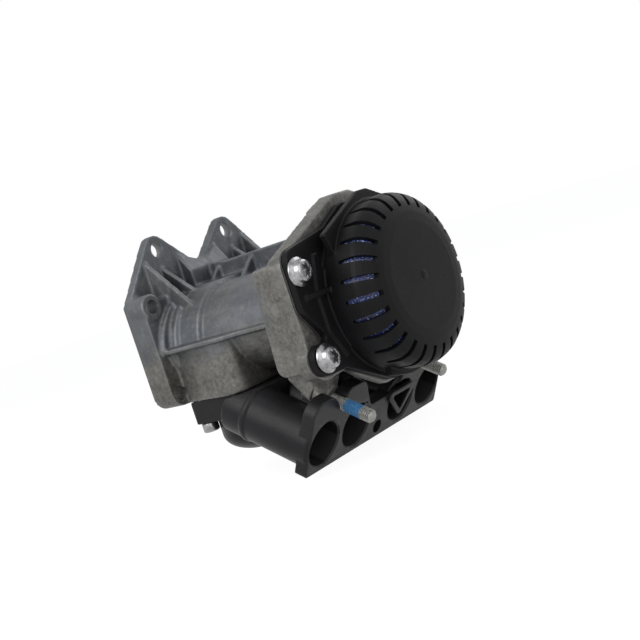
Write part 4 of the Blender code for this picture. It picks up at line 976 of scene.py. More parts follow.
@dataclass
class Casting:
    """The die-cast body with both flanges, its ribs and machined holes."""

    flange_half: float = 69.2
    flange_top: float = 31.5
    flange_bottom: float = -33.5
    flange_depth: float = 17.0
    ear_depth: float = 6.5
    ear_y: float = 32.8
    ear_z: float = 60.6
    ear_radius: float = 9.2
    ear_valley: float = 48.5
    ear_hole: float = 4.8
    side_hole: float = 4.5
    side_hole_y: float = 62.3
    side_hole_top: float = 28.8
    side_hole_bottom: float = -25.5
    body_half: float = 56.5
    body_top: float = 29.0
    body_corner: float = 35.0
    neck_start: float = 12.0
    block_end: float = 66.0
    ridge_top: float = 42.0
    rear_plate: float = 120.0
    rear_face: float = 130.0
    rear_half: float = 71.5
    rear_bottom: float = -33.5
    rear_peak: float = 58.6
    rear_flat: float = 8.5
    voxel: float = 0.8
    triangles: int = 170000

    def section(self, half: float, rise: float = 0.0, lower: float = 1.0) -> list[Point2]:
        """Cross-section of the body.

        Args:
            half: half width at the parting plane.
            rise: how far its top stands over the body's.
            lower: share of the width that is left below the parting plane.

        Returns:
            The closed outline.
        """
        radius = self.body_corner + rise
        inset = half - radius + 0.5
        drop = self.body_top - self.body_corner
        side = math.degrees(math.asin(-drop / radius))
        upper = Outline.arc((inset, drop), radius, side, 90.0, 20)
        upper += [(-y, z) for y, z in reversed(upper)]
        return upper + [(y * lower, -z) for y, z in reversed(upper)][1:-1]

    def flange_outline(self) -> list[Point2]:
        """Front flange with its two ears.

        Returns:
            The closed outline.
        """
        slope = math.radians(48.9)
        down = Vector((math.cos(slope), -math.sin(slope)))
        centre = Vector((self.ear_y, self.ear_z))
        top = centre + Vector((math.sin(slope), math.cos(slope))) * self.ear_radius
        shoulder = top + down * ((self.flange_half - top.x) / down.x)
        ear = Outline.arc((centre.x, centre.y), self.ear_radius, 138.0, 41.0, 14)
        right = [(5.2, self.ear_valley)] + ear + [(self.flange_half, shoulder.y)]
        corner = Outline.rounded([(self.flange_half, 0.0, 0.0), (self.flange_half, self.flange_bottom, 9.0),
                                  (0.0, self.flange_bottom, 0.0)])[1:-1]
        half = right + corner
        return half + [(-y, z) for y, z in reversed(half)]

    def trunk(self) -> list[Solid]:
        """Stepped neck, body, block and parting rib.

        Returns:
            The solids, which overlap.
        """
        half = self.body_half
        parts = []
        for name, wider, lower, end, soften in (("neck_foot", 10.5, 0.93, 20.2, 1.3), ("neck", 5.0, 0.97, 25.8, 1.3),
                                                ("neck_collar", 2.7, 1.0, 43.2, 1.6)):
            outline = self.section(half + wider, 2.5, lower)
            parts.append(Bench.prism(name, Plane.YZ, outline, self.neck_start, end, soften))
        parts.append(Bench.prism("trunk", Plane.YZ, self.section(half), self.neck_start, self.rear_plate))
        near = half + 1.0
        block = [(14.0, near, 0.0), (self.block_end - 15.0, near + 5.5, 30.0), (self.block_end, near + 3.5, 15.0),
                 (self.block_end - 2.0, 20.0, 0.0)]
        parts.append(Bench.prism("block", Plane.XY, Outline.symmetric(block, 1.0, -1.0), self.flange_bottom, 0.5))
        rib = [(self.neck_start, 68.0, 0.0), (19.0, 66.0, 2.0), (self.block_end, half + 8.0, 6.0),
               (self.block_end + 6.0, half + 3.5, 3.0), (self.rear_plate - 5.0, half + 3.5, 0.0)]
        parts.append(Bench.prism("parting_rib", Plane.XY, Outline.symmetric(rib, 1.0, -1.0), -1.5, 1.5))
        return parts

    def front(self) -> list[Solid]:
        """Mounting flange with its ears, bosses and ribs.

        Returns:
            The solids, which overlap.
        """
        half = self.flange_half
        thick = Outline.symmetric([(half, self.flange_top, 1.0), (half, self.flange_bottom, 9.0)])
        parts = [Bench.prism("ear_plate", Plane.YZ, self.flange_outline(), 0.0, self.ear_depth),
                 Bench.prism("thick_plate", Plane.YZ, thick, 2.0, self.flange_depth)]
        for side in (-1, 1):
            boss = Outline.circle((side * self.side_hole_y, self.side_hole_top), 7.9)
            parts.append(Bench.prism("side_boss", Plane.YZ, boss, 4.0, self.flange_depth + 1.0))
            for outline, offset in self.ear_ribs():
                middle = side * offset
                parts.append(Bench.prism("ear_rib", Plane.XZ, outline, middle - 1.4, middle + 1.4))
        side = [(4.0, 55.0), (self.ear_depth, 55.0), (14.7, 42.3), (14.7, 24.0), (4.0, 24.0)]
        pad = Bench.prism("valley_pad", Plane.XZ, side, -18.3, 18.3)
        floor = self.ear_valley - 0.5
        above = [(-19.5, 55.6), (-5.25, floor), (5.25, floor), (19.5, 55.6), (19.5, 70.0), (-19.5, 70.0)]
        Bench.cut(pad, Bench.prism("valley", Plane.YZ, above, 0.0, 20.0))
        return parts + [pad]

    @staticmethod
    def ear_ribs() -> list[tuple[list[Point2], float]]:
        """Outlines of the ribs behind one ear, with their offsets from the middle."""
        return [([(4.0, 56.5), (5.6, 56.5), (36.0, 21.8), (36.0, 10.0), (4.0, 10.0)], 46.0),
                ([(4.0, 50.5), (5.6, 50.5), (30.0, 29.2), (30.0, 10.0), (4.0, 10.0)], 33.7)]

    def ridge(self) -> list[Solid]:
        """Rib along the top with its cross gussets.

        Returns:
            The solids, which overlap.
        """
        outline = [(5.0, 25.0), (5.0, 47.5), (14.0, self.ridge_top + 1.0), (30.0, self.ridge_top - 0.5),
                   (84.0, self.ridge_top), (126.0, self.ridge_top + 8.0), (126.0, 25.0)]
        parts = [Bench.prism("ridge", Plane.XZ, outline, -2.0, 2.0)]
        gusset = [(1.0, 40.5), (-1.0, 40.5), (-15.0, 29.5), (-15.0, 25.0), (15.0, 25.0), (15.0, 29.5)]
        for x in (22.0, 51.0, 80.0):
            parts.append(Bench.prism("cross_gusset", Plane.YZ, gusset, x - 1.5, x + 1.5))
        return parts

    def gable_line(self, y: float, below: float) -> float:
        """Height of the rear flange's slope at a distance from the middle, less a margin."""
        return self.rear_peak - below - (y - self.rear_flat) * math.tan(PLACES.gable)

    def rear(self) -> list[Solid]:
        """Rear flange, its step, lower lugs and the feet that hold the studs.

        Returns:
            The solids, which overlap.
        """
        half, face, start, bottom = self.rear_half, self.rear_face, self.rear_plate, self.rear_bottom
        house = [(self.rear_flat, self.rear_peak, 6.0), (half, self.gable_line(half, 0.0), 8.0), (half, bottom, 8.0)]
        plate = Bench.prism("rear_plate", Plane.YZ, Outline.symmetric(house), start, face)
        recess = [(self.rear_flat, self.rear_peak - 4.2, 0.5), (46.0, self.gable_line(46.0, 4.2), 0.5),
                  (46.0, 38.0, 0.5)]
        Bench.cut(plate, Bench.prism("recess", Plane.YZ, Outline.symmetric(recess), start - 1.0, start + 5.0))
        step = Outline.rounded([(start - 12.5, 31.5, 4.0), (start + 1.0, 31.5, 0.0), (start + 1.0, -29.5, 0.0),
                                (start - 16.5, -29.5, 6.0)])
        skirt = [(half, -10.5, 0.0), (half, bottom - 3.1, 11.0), (44.0, bottom - 2.1, 3.0), (34.0, bottom - 9.0, 6.0),
                 (14.0, -53.5, 12.0)]
        parts = [plate, Bench.prism("rear_step", Plane.XZ, step, 0.5 - half, half - 0.5, 1.0),
                 Bench.prism("skirt", Plane.YZ, Outline.symmetric(skirt), 124.6, face)]
        foot = self.gable_line(18.0, 4.7)
        top_lug = [(9.0, foot), (9.0, self.gable_line(9.0, 2.1)), (18.0, self.gable_line(18.0, 1.7)), (18.0, foot)]
        web = [(101.0, -20.0), (101.0, -32.0), (111.0, -46.0), (116.0, -40.0), (119.0, -20.0)]
        for side in (-1, 1):
            lug = [(side * y, z) for y, z in top_lug]
            parts.append(Bench.prism("top_lug", Plane.YZ, lug, start - 5.0, start + 2.0))
            parts.append(Bench.prism("lower_lug", Plane.YZ, Outline.circle((side * 60.0, -24.0), 12.6), start, face))
            parts.append(Bench.prism("side_web", Plane.XZ, web, side * 60.0 - 1.5, side * 60.0 + 1.5))
        for across, up in PLACES.studs:
            boss = Outline.band(0.0, -17.0, 7.6)
            parts.append(Bench.port_turn("stud_boss", boss, 40, across, up, PLACES.stud_seat))
            edge = [PORTS.point(out, across, height) for out, height in ((-9.3, 34.0), (-9.3, up), (-22.3, up))]
            outline = [(96.0, -20.0), (127.0, -20.0), (127.0, bottom)] + [(p.x, p.z) for p in edge] + [(96.0, bottom)]
            parts.append(Bench.prism("stud_web", Plane.XZ, outline, across - 5.5, across + 5.5))
        return parts

    def cutters(self) -> list[Solid]:
        """Machined bores, holes and pockets.

        Returns:
            The solids to cut away.
        """
        bore = [(-1.0, 0.0), (-1.0, 28.6), (0.0, 28.6), (0.6, 28.0), (1.1, 28.0), (1.1, 29.2), (3.0, 29.2), (3.0, 28.0),
                (17.3, 28.0), (17.3, 24.0), (108.0, 24.0), (108.0, 27.0), (121.0, 27.0), (121.0, 33.0), (125.5, 33.0),
                (125.5, 34.2), (127.4, 34.2), (127.4, 33.0), (131.0, 33.0), (131.0, 0.0)]
        tools = [Bench.turn("main_bore", bore, 96)]
        spots = ((self.ear_y, self.ear_z, self.ear_hole, 10.0),
                 (self.side_hole_y, self.side_hole_top, self.side_hole, 20.0),
                 (self.side_hole_y, self.side_hole_bottom, self.side_hole, 20.0))
        for y, z, size, deep in spots:
            for side in (-1, 1):
                hole = [(-1.0, 0.0), (-1.0, size + 0.6), (0.0, size + 0.6), (0.6, size), (deep, size), (deep, 0.0)]
                tools.append(Bench.turn("mount_hole", hole, 40, Vector((0.0, side * y, z))))
        screw = Outline.band(111.0, 131.0, PLACES.thread_hole)
        for y, z in PLACES.cap_screws:
            tools.append(Bench.turn("screw_hole", screw, 32, Vector((0.0, y, z))))
        stud = Outline.band(-14.3, 1.0, PLACES.thread_hole)
        for across, up in PLACES.studs:
            tools.append(Bench.port_turn("stud_hole", stud, 32, across, up, PLACES.stud_seat))
        for side in (-1, 1):
            pocket = Outline.rounded([(side * y, z, 4.0) for y, z in ((33.0, -22.0), (53.0, -22.0), (53.0, 22.0),
                                                                      (33.0, 22.0))])
            tools.append(Bench.prism("pocket", Plane.YZ, pocket, -1.0, 12.0))
            feed = Outline.circle((PLACES.feed[0], side * PLACES.feed[1]), PLACES.feed_radius)
            tools.append(Bench.prism("feed", Plane.XY, feed, -35.0, -8.0))
        for x, y, grip in PLACES.bolts:
            bolt = Outline.circle((x, y), PLACES.bolt_hole, 32)
            tools.append(Bench.prism("bolt_hole", Plane.XY, bolt, -35.0, -32.5 + grip))
        return tools

    def build(self, finishes: Finishes) -> None:
        """Model the casting and put it in place of its CAD node.

        Args:
            finishes: the valve's materials.
        """
        body = Bench.merge("body_casting", self.trunk() + self.front() + self.ridge() + self.rear())
        Bench.fuse(body, self.voxel, 3, self.triangles)
        Bench.cut(body, Bench.merge("machining", self.cutters()), Solver.QUICK)
        Bench.smooth(body, 40.0)
        finishes.dress(body, "casting", "root", "valve_body")


@dataclass
class SilencerCap:
    """Black silencer cap with its lugs, gabled lip and slotted drum."""

    back: float = 131.6
    plate: float = 4.0
    lug: float = 9.2
    plate_half: float = 71.5
    front: float = 167.7
    drum: float = 50.0
    wall: float = 2.5
    crown: float = 12.0
    lip_start: float = 141.0
    lip_end: float = 145.0
    slots: int = 28
    slot_back: float = 1.9
    slot_wide: float = 3.0
    slot_start: float = 147.0
    slot_inner: float = 40.0
    gasket_front: float = 130.3
    gasket_back: float = 131.3
    voxel: float = 0.5
    triangles: int = 180000

    def shell(self) -> list[Point2]:
        """Half section of the drum and neck.

        Returns:
            The closed outline.
        """
        back, front, crown, drum = self.back, self.front, self.crown, self.drum
        rim, floor, bore = self.slot_inner, front - self.wall, drum - self.wall
        outer = [(back, drum - 1.0), (self.lip_end, drum - 0.2), (front - crown, drum),
                 (front - crown * 0.8, drum - 0.5), (front - crown * 0.52, drum - 2.0),
                 (front - crown * 0.36, drum - 3.8), (front - crown * 0.25, drum - 5.8),
                 (front - crown * 0.17, drum - 7.8), (front - 1.4, rim), (front - 0.6, rim - 3.5),
                 (front, rim - 9.0), (front, 0.0)]
        inner = [(floor, 0.0), (floor, 30.0), (floor - 2.6, bore - 5.5), (floor - 6.0, bore - 1.6),
                 (floor - crown + 1.0, bore), (back, bore)]
        return outer + inner

    def plate_outline(self) -> list[Point2]:
        """Base plate with its four lugs.

        Returns:
            The closed outline.
        """
        screw_y, screw_z = PLACES.cap_screws[-1]
        band, lug = (self.drum + 1.5) * 1.04, self.lug - 0.1
        edge = screw_y + self.lug
        steep, flat = math.radians(13.5), math.radians(38.0)
        near, far = band * math.sin(steep), band * math.sin(flat)
        right = [(near, band * math.cos(steep), 12.0), (far, band * math.cos(flat), 8.0), (54.0, 39.0, 6.0),
                 (self.plate_half, 36.0, 8.0), (self.plate_half, 4.0, 5.0), (56.0, -17.0, 3.0),
                 (edge, -screw_z + self.lug, lug), (edge, -screw_z - self.lug, lug), (50.0, -34.0, 5.0),
                 (far, -band * math.cos(flat), 8.0), (near, -band * math.cos(steep), 12.0)]
        return Outline.symmetric(right)

    def lip_outline(self) -> list[Point2]:
        """Gabled lip behind the drum.

        Returns:
            The closed outline.
        """
        foot = 55.9 - 42.0 * math.tan(PLACES.gable)
        right = [(4.0, 55.9, 2.0), (46.0, foot, 1.5), (45.0, foot - 3.4, 0.0), (41.0, foot - 16.4, 0.0),
                 (26.0, -30.0, 0.0), (26.0, -48.0, 3.0), (10.0, -51.5, 6.0)]
        return Outline.symmetric(right)

    def hollowed(self, name: str, outline: list[Point2], low: float, high: float) -> Solid:
        """Plate with the drum's bore through it.

        Args:
            name: object's name.
            outline: the plate's outline.
            low: X where it starts.
            high: X where it ends.

        Returns:
            The plate.
        """
        plate = Bench.prism(name, Plane.YZ, outline, low, high)
        bore = Outline.band(low - 1.0, high + 1.0, self.drum - self.wall)
        Bench.cut(plate, Bench.turn("bore", bore, 112))
        return plate

    def trim(self) -> list[Solid]:
        """Ribs, raised steps and the gate's nub.

        Returns:
            The solids, which overlap.
        """
        face = self.back + self.plate
        parts = []
        for side in (-1, 1):
            rib = [(face - 2.0, side * 48.0), (self.lip_start - 1.0, side * 48.0), (face + 1.0, side * 66.0),
                   (face - 2.0, side * 68.0)]
            parts.append(Bench.prism("plate_rib", Plane.XY, rib, 7.9, 10.6))
            pad = [(46.0, 30.0), (50.0, 30.0), (56.3, 10.0), (56.3, -12.0), (48.0, -28.0), (44.0, -26.0)]
            parts.append(Bench.prism("plate_step", Plane.YZ, [(side * y, z) for y, z in pad], face - 2.0, face + 1.2))
        nub = [(self.front - 1.0, 0.0), (self.front - 1.0, 2.6), (self.front + 0.4, 2.2), (self.front + 0.5, 0.0)]
        parts.append(Bench.turn("gate_nub", nub, 32))
        return parts

    def slot_cutter(self) -> Solid:
        """All slots as one cutter.

        Returns:
            The cutter.
        """
        narrow, wide, turn, end = self.slot_back / 2, self.slot_wide / 2, self.front - self.crown, self.front + 2.0
        half = [(self.slot_start, narrow, 1.0), (turn, wide, 12.0), (end, wide, 0.0)]
        outline = Outline.symmetric(half, 1.0, -1.0)
        bars = [Bench.prism("slot", Plane.XY, outline, self.slot_inner, self.drum + 4.0)]
        for index in range(1, self.slots):
            bar = Bench.copy(bars[0], "slot", ORIGIN)
            bar.data.transform(Matrix.Rotation(2 * math.pi * index / self.slots, 4, "X"))
            bars.append(bar)
        return Bench.merge("slots", bars)

    @staticmethod
    def screw_passes(low: float, high: float) -> Solid:
        """Cutter for the four screw holes.

        Args:
            low: X where the holes start.
            high: X where they end.

        Returns:
            The cutter.
        """
        hole = Outline.band(low, high, PLACES.thread_hole)
        holes = [Bench.turn("screw_pass", hole, 40, Vector((0.0, y, z))) for y, z in PLACES.cap_screws]
        return Bench.merge("screw_passes", holes)

    def build(self, finishes: Finishes) -> None:
        """Model the cap and its gasket.

        Args:
            finishes: the valve's materials.
        """
        outline = self.plate_outline()
        parts = [Bench.turn("drum", self.shell(), 224),
                 self.hollowed("base_plate", outline, self.back, self.back + self.plate),
                 self.hollowed("lip", self.lip_outline(), self.lip_start, self.lip_end)]
        cap = Bench.merge("cap_moulding", parts + self.trim())
        Bench.fuse(cap, self.voxel, 2, self.triangles)
        Bench.cut(cap, self.slot_cutter(), Solver.QUICK)
        Bench.cut(cap, self.screw_passes(self.back - 1.0, self.back + 5.0), Solver.QUICK)
        Bench.smooth(cap, 40.0)
        finishes.dress(cap, "cap_plastic", "root", "silencer_cap")
        gasket = self.hollowed("cap_seal", outline, self.gasket_front, self.gasket_back)
        Bench.cut(gasket, self.screw_passes(129.0, 133.0))
        Bench.smooth(gasket)
        finishes.dress(gasket, "rubber", "root", "cap_gasket")


@dataclass
class FilterElement:
    """Knitted filter that lines the drum."""

    start: float = 133.0
    front: float = 167.7
    outer: float = 47.2
    wall: float = 4.0

    def build(self, finishes: Finishes) -> None:
        """Model the filter and replace its CAD node.

        Args:
            finishes: the valve's materials.
        """
        front = self.front - 2.8
        outer = [(front, 30.0), (front - 1.2, 36.5), (front - 2.6, 41.7), (front - 4.3, 44.2), (front - 6.0, 45.6),
                 (front - 11.0, self.outer), (self.start, self.outer)]
        inner = [(self.start, self.outer - self.wall), (front - 11.0, self.outer - self.wall), (front - 8.0, 41.0),
                 (front - self.wall, 30.0)]
        lining = Bench.turn("filter_lining", outer + inner, 160)
        Bench.smooth(lining, 50.0)
        finishes.dress(lining, "filter", "root", "filter_element")


@dataclass
class CapScrews:
    """Four flanged screws with six-lobed sockets."""

    seat: float = 135.9
    length: float = 18.0
    radius: float = 3.9
    head_radius: float = 8.2
    head: float = 6.0
    pitch: float = 1.25
    lobe: float = 3.25
    lobe_depth: float = 0.45
    socket_depth: float = 3.2

    def profile(self) -> list[Point2]:
        """Half section with grooves in place of a thread.

        Returns:
            The closed outline.
        """
        root, rim, top = self.radius - 0.6, self.head_radius, self.head
        points = [(-self.length, 0.0), (-self.length, self.radius - 1.0), (-self.length + 0.6, self.radius - 0.5)]
        points += Outline.grooves(-self.length + 1.0, -self.pitch, self.pitch, self.radius, 0.6, (0.45, 0.6))
        points += [(-0.4, root), (0.0, self.radius - 0.3), (0.0, rim - 0.3), (0.3, rim), (1.1, rim), (1.5, rim - 0.3),
                   (2.4, rim - 1.6), (3.0, rim - 2.0), (top - 1.2, rim - 2.2), (top - 0.4, rim - 2.6),
                   (top, rim - 3.3), (top, 0.0)]
        return points

    def socket(self) -> Solid:
        """Six-lobed cutter.

        Returns:
            The cutter.
        """
        lobes, steps = [], 72
        for step in range(steps):
            angle = 2 * math.pi * step / steps
            size = self.lobe + self.lobe_depth * math.cos(6 * angle)
            lobes.append((size * math.cos(angle), size * math.sin(angle)))
        return Bench.prism("socket", Plane.YZ, lobes, self.head - self.socket_depth, self.head + 1.0)

    def build(self, finishes: Finishes) -> None:
        """Model one screw and copy it to its four places.

        Args:
            finishes: the valve's materials.
        """
        master = Bench.turn("screw", self.profile(), 64)
        Bench.cut(master, self.socket())
        Bench.bevel(master, 0.12, 2, 50.0)
        Bench.smooth(master, 38.0)
        for index, (y, z) in enumerate(PLACES.cap_screws, 1):
            # Numbered from the top, while the places start at the bottom.
            screw = Bench.copy(master, f"cap_flange_screw_{index}", Vector((self.seat, y, -z)))
            finishes.dress(screw, "zinc", "root", f"cap_screw_{index}")
        bpy.data.objects.remove(master, do_unlink=True)


@dataclass
class PortManifold:
    """Moulded manifold: top plate, bowls, port tubes and the tilted port plate."""

    half: float = 70.8
    drop: float = 17.0
    rise: float = 29.0
    plate: float = 8.0
    bore: float = 13.5
    wall: float = 3.2
    tube: float = 62.0
    top: float = -33.8
    top_height: float = 14.0
    bowl_radius: float = 24.5
    bowl_wall: float = -58.0
    bowl_bottom: float = -72.0
    voxel: float = 0.65
    triangles: int = 170000

    def plate_outline(self) -> list[Point2]:
        """Port plate with its lobes.

        Returns:
            The closed outline.
        """
        half, rise, drop = self.half, self.rise, self.drop
        right = [(18.0, 9.0, 4.0), (27.0, rise + 3.0, 7.0), (45.0, rise + 3.0, 7.0), (54.0, 15.0, 6.0),
                 (66.0, 15.0, 6.0), (half, 0.0, 4.0), (half, -drop, 2.5)]
        left = [(-half, -drop, 2.5), (-half, rise, 12.0), (-50.0, rise, 12.0), (-43.5, 15.0, 4.0), (-38.0, rise, 7.0),
                (-21.0, rise, 7.0), (-11.0, 9.0, 4.0)]
        return Outline.rounded(right + left)

    def blanks(self) -> list[Solid]:
        """Shapes that the moulding is fused from.

        Returns:
            The solids, which overlap.
        """
        parts = [Bench.prism("port_plate", Plane.PORT, self.plate_outline(), -self.plate, 0.0)]
        outer, start = self.bore + self.wall, -self.tube
        for across in PLACES.ports:
            parts.append(Bench.port_turn("tube", Outline.band(start, -2.0, outer), 72, across))
            band = Outline.band(start + 14.0, start + 16.5, outer + 0.9, 10.0)
            parts.append(Bench.port_turn("tube_band", band, 72, across))
        plan = Outline.rounded([(17.3, 58.5, 1.5), (78.0, 58.5, 12.0), (78.0, -58.5, 12.0), (17.3, -58.5, 1.5)])
        floor = self.top - self.top_height
        parts.append(Bench.prism("top_plate", Plane.XY, plan, floor, self.top))
        depth = self.bowl_wall - self.bowl_bottom
        dome = [(self.bowl_wall - depth * math.sin(math.radians(a)), self.bowl_radius * math.cos(math.radians(a)))
                for a in range(0, 90, 6)]
        bowl = [(self.top - 5.0, 0.0), (self.top - 5.0, self.bowl_radius)] + dome + [(self.bowl_bottom, 0.0)]
        web = [(66.0, floor + 1.0), (85.4, -58.0), (73.4, -68.0), (54.0, -56.0)]
        for side in (-1, 1):
            centre = Vector((PLACES.feed[0], side * PLACES.feed[1], 0.0))
            parts.append(Bench.turn("bowl", bowl, 96, centre, UPWARD))
            parts.append(Bench.prism("pair_web", Plane.XZ, web, side * 40.0 - 3.0, side * 40.0 + 3.0))
        upper, lower = PORTS.point(-7.0, 0.0, 7.0), PORTS.point(-7.0, 0.0, -7.0)
        middle = [(70.0, floor + 1.0), (upper.x, upper.z), (lower.x, lower.z), (67.0, floor + 1.0)]
        parts.append(Bench.prism("middle_web", Plane.XZ, middle, -17.0, 17.0))
        return parts

    def cutters(self) -> list[Solid]:
        """Ports, feeds, stud passes and bolt seats.

        Returns:
            The solids to cut away.
        """
        bore, end = self.bore, -PLACES.port_depth
        port = [(1.0, 0.0), (1.0, bore + 1.2), (0.0, bore + 1.0), (-1.0, bore), (end, bore), (end, 8.5),
                (end - 10.0, 8.5), (end - 10.0, 0.0)]
        tools = [Bench.port_turn("port", port, 72, across) for across in PLACES.ports]
        holes = [(across, up, PLACES.thread_hole, -9.5) for across, up in PLACES.studs]
        for across, up, size, deep in holes + [(0.3, -9.5, 4.3, -4.0), (-17.0, 11.0, 2.2, -4.0)]:
            tools.append(Bench.port_turn("plate_hole", Outline.band(deep, 1.0, size), 40, across, up))
        seat, above = self.top - self.top_height, self.top + 1.0
        for x, y, _ in PLACES.bolts:
            hole = [(above, 0.0), (above, PLACES.bolt_hole), (seat, PLACES.bolt_hole), (seat, 6.2), (seat - 22.0, 6.2),
                    (seat - 22.0, 0.0)]
            tools.append(Bench.turn("bolt_pass", hole, 40, Vector((x, y, 0.0)), UPWARD))
        for side in (-1, 1):
            feed = Outline.circle((PLACES.feed[0], side * PLACES.feed[1]), PLACES.feed_radius)
            tools.append(Bench.prism("bowl_feed", Plane.XY, feed, self.bowl_wall, above))
        return tools

    @staticmethod
    def triangle() -> Solid:
        """Open triangle that stands over one port.

        Returns:
            The triangle.
        """
        outer = Outline.rounded([(3.0, 10.5, 3.0), (38.0, 10.5, 3.0), (21.5, -9.0, 3.0)])
        inner = Outline.rounded([(10.0, 7.5, 1.0), (31.0, 7.5, 1.0), (21.5, -4.5, 1.0)])
        plate = Bench.prism("port_triangle", Plane.PORT, outer, -0.9, 2.0)
        Bench.cut(plate, Bench.prism("window", Plane.PORT, inner, -4.0, 4.0))
        Bench.bevel(plate, 0.35, 3, 40.0)
        Bench.smooth(plate)
        return plate

    def build(self, finishes: Finishes) -> None:
        """Model the manifold and replace its CAD node.

        Args:
            finishes: the valve's materials.
        """
        moulding = Bench.merge("manifold_moulding", self.blanks())
        above = [(0.0, self.top), (99.0, self.top), (99.0, 0.0), (0.0, 0.0)]
        Bench.fuse(moulding, self.voxel, 2, self.triangles)
        Bench.cut(moulding, Bench.prism("above", Plane.XZ, above, -100.0, 100.0), Solver.QUICK)
        Bench.cut(moulding, Bench.merge("boring", self.cutters()), Solver.QUICK)
        Bench.smooth(moulding, 40.0)
        finishes.dress(moulding, "manifold_plastic", "root", "port_manifold")
        finishes.dress(self.triangle(), "manifold_plastic", "root")


@dataclass
class Fasteners:
    """Studs, manifold bolts and the seals in the ports."""

    stud_radius: float = 3.9
    stud_proud: float = 20.0
    grip: float = 14.0
    pitch: float = 1.25
    seal_wire: float = 1.8
    seal_outer: float = 13.2
    bolt_radius: float = 3.0
    bolt_head: float = 5.0
    bolt_seat: float = -48.1

    def stud(self, name: str, across: float, up: float) -> Solid:
        """One stud, with grooves in place of a thread.

        Args:
            name: object's name.
            across: place across the port plate.
            up: place up the port plate.

        Returns:
            The stud.
        """
        radius, tip = self.stud_radius, self.stud_proud - PLACES.stud_seat
        points = [(-self.grip, 0.0), (-self.grip, radius - 0.9), (-self.grip + 0.8, radius - 0.2)]
        points += Outline.grooves(-self.grip + 1.2, tip - 1.9, self.pitch, radius, 0.62, (0.42, 0.58))
        points += [(tip - 0.9, radius - 0.7), (tip - 0.3, radius - 1.2), (tip, radius - 1.7), (tip, 0.0)]
        piece = Bench.port_turn(name, points, 56, across, up, PLACES.stud_seat)
        Bench.smooth(piece, 25.0)
        return piece

    def bolt(self, name: str, x: float, y: float, grip: float) -> Solid:
        """One manifold bolt, head down.

        Args:
            name: object's name.
            x: place along the part.
            y: place across the part.
            grip: length in the casting.

        Returns:
            The bolt.
        """
        seat, tip, outer, shank = self.bolt_seat, -33.5 + grip, self.bolt_head, self.bolt_radius
        head = seat - 5.5
        profile = [(head, 0.0), (head, outer - 0.8), (head + 0.6, outer), (seat, outer), (seat, shank),
                   (tip - 0.6, shank), (tip, shank - 0.6), (tip, 0.0)]
        piece = Bench.turn(name, profile, 48, Vector((x, y, 0.0)), UPWARD)
        Bench.cut(piece, Bench.prism("hex", Plane.XY, Outline.circle((x, y), 2.8, 6), head - 1.0, head + 3.0))
        Bench.bevel(piece, 0.12, 2, 50.0)
        Bench.smooth(piece)
        return piece

    def build(self, finishes: Finishes) -> None:
        """Model the studs, bolts and port seals.

        Args:
            finishes: the valve's materials.
        """
        for side, (across, up) in zip(("left", "right"), PLACES.studs):
            stud = self.stud(f"manifold_stud_{side}", across, up)
            finishes.dress(stud, "steel", "root", f"stud_{side}", finish=finishes.studs[side])
        for index, (x, y, grip) in enumerate(PLACES.bolts, 1):
            bolt = self.bolt(f"manifold_cap_bolt_{index}", x, y, grip)
            finishes.dress(bolt, "zinc", "root", f"manifold_bolt_{index}")
        middle = (self.seal_wire + 0.3 - PLACES.port_depth, self.seal_outer - self.seal_wire)
        wire = Outline.circle(middle, self.seal_wire, 20)
        for index, across in enumerate(PLACES.ports, 1):
            seal = Bench.port_turn(f"port_ring_{index}", wire, 72, across)
            Bench.smooth(seal, 60.0)
            finishes.dress(seal, "rubber", "root", f"port_seal_{index}")


@dataclass(frozen=True)
class Coil:
    """One coil spring, in millimetres.

    low and high are its two ends along the bore and radius is its mean radius. keep, the share of
    its length measured from anchor that would be left with the plunger all the way in, and anchor are not used.
    """

    name: str
    node: str
    body: str
    keep: float
    anchor: float
    low: float
    high: float
    radius: float
    wire: float
    turns: int


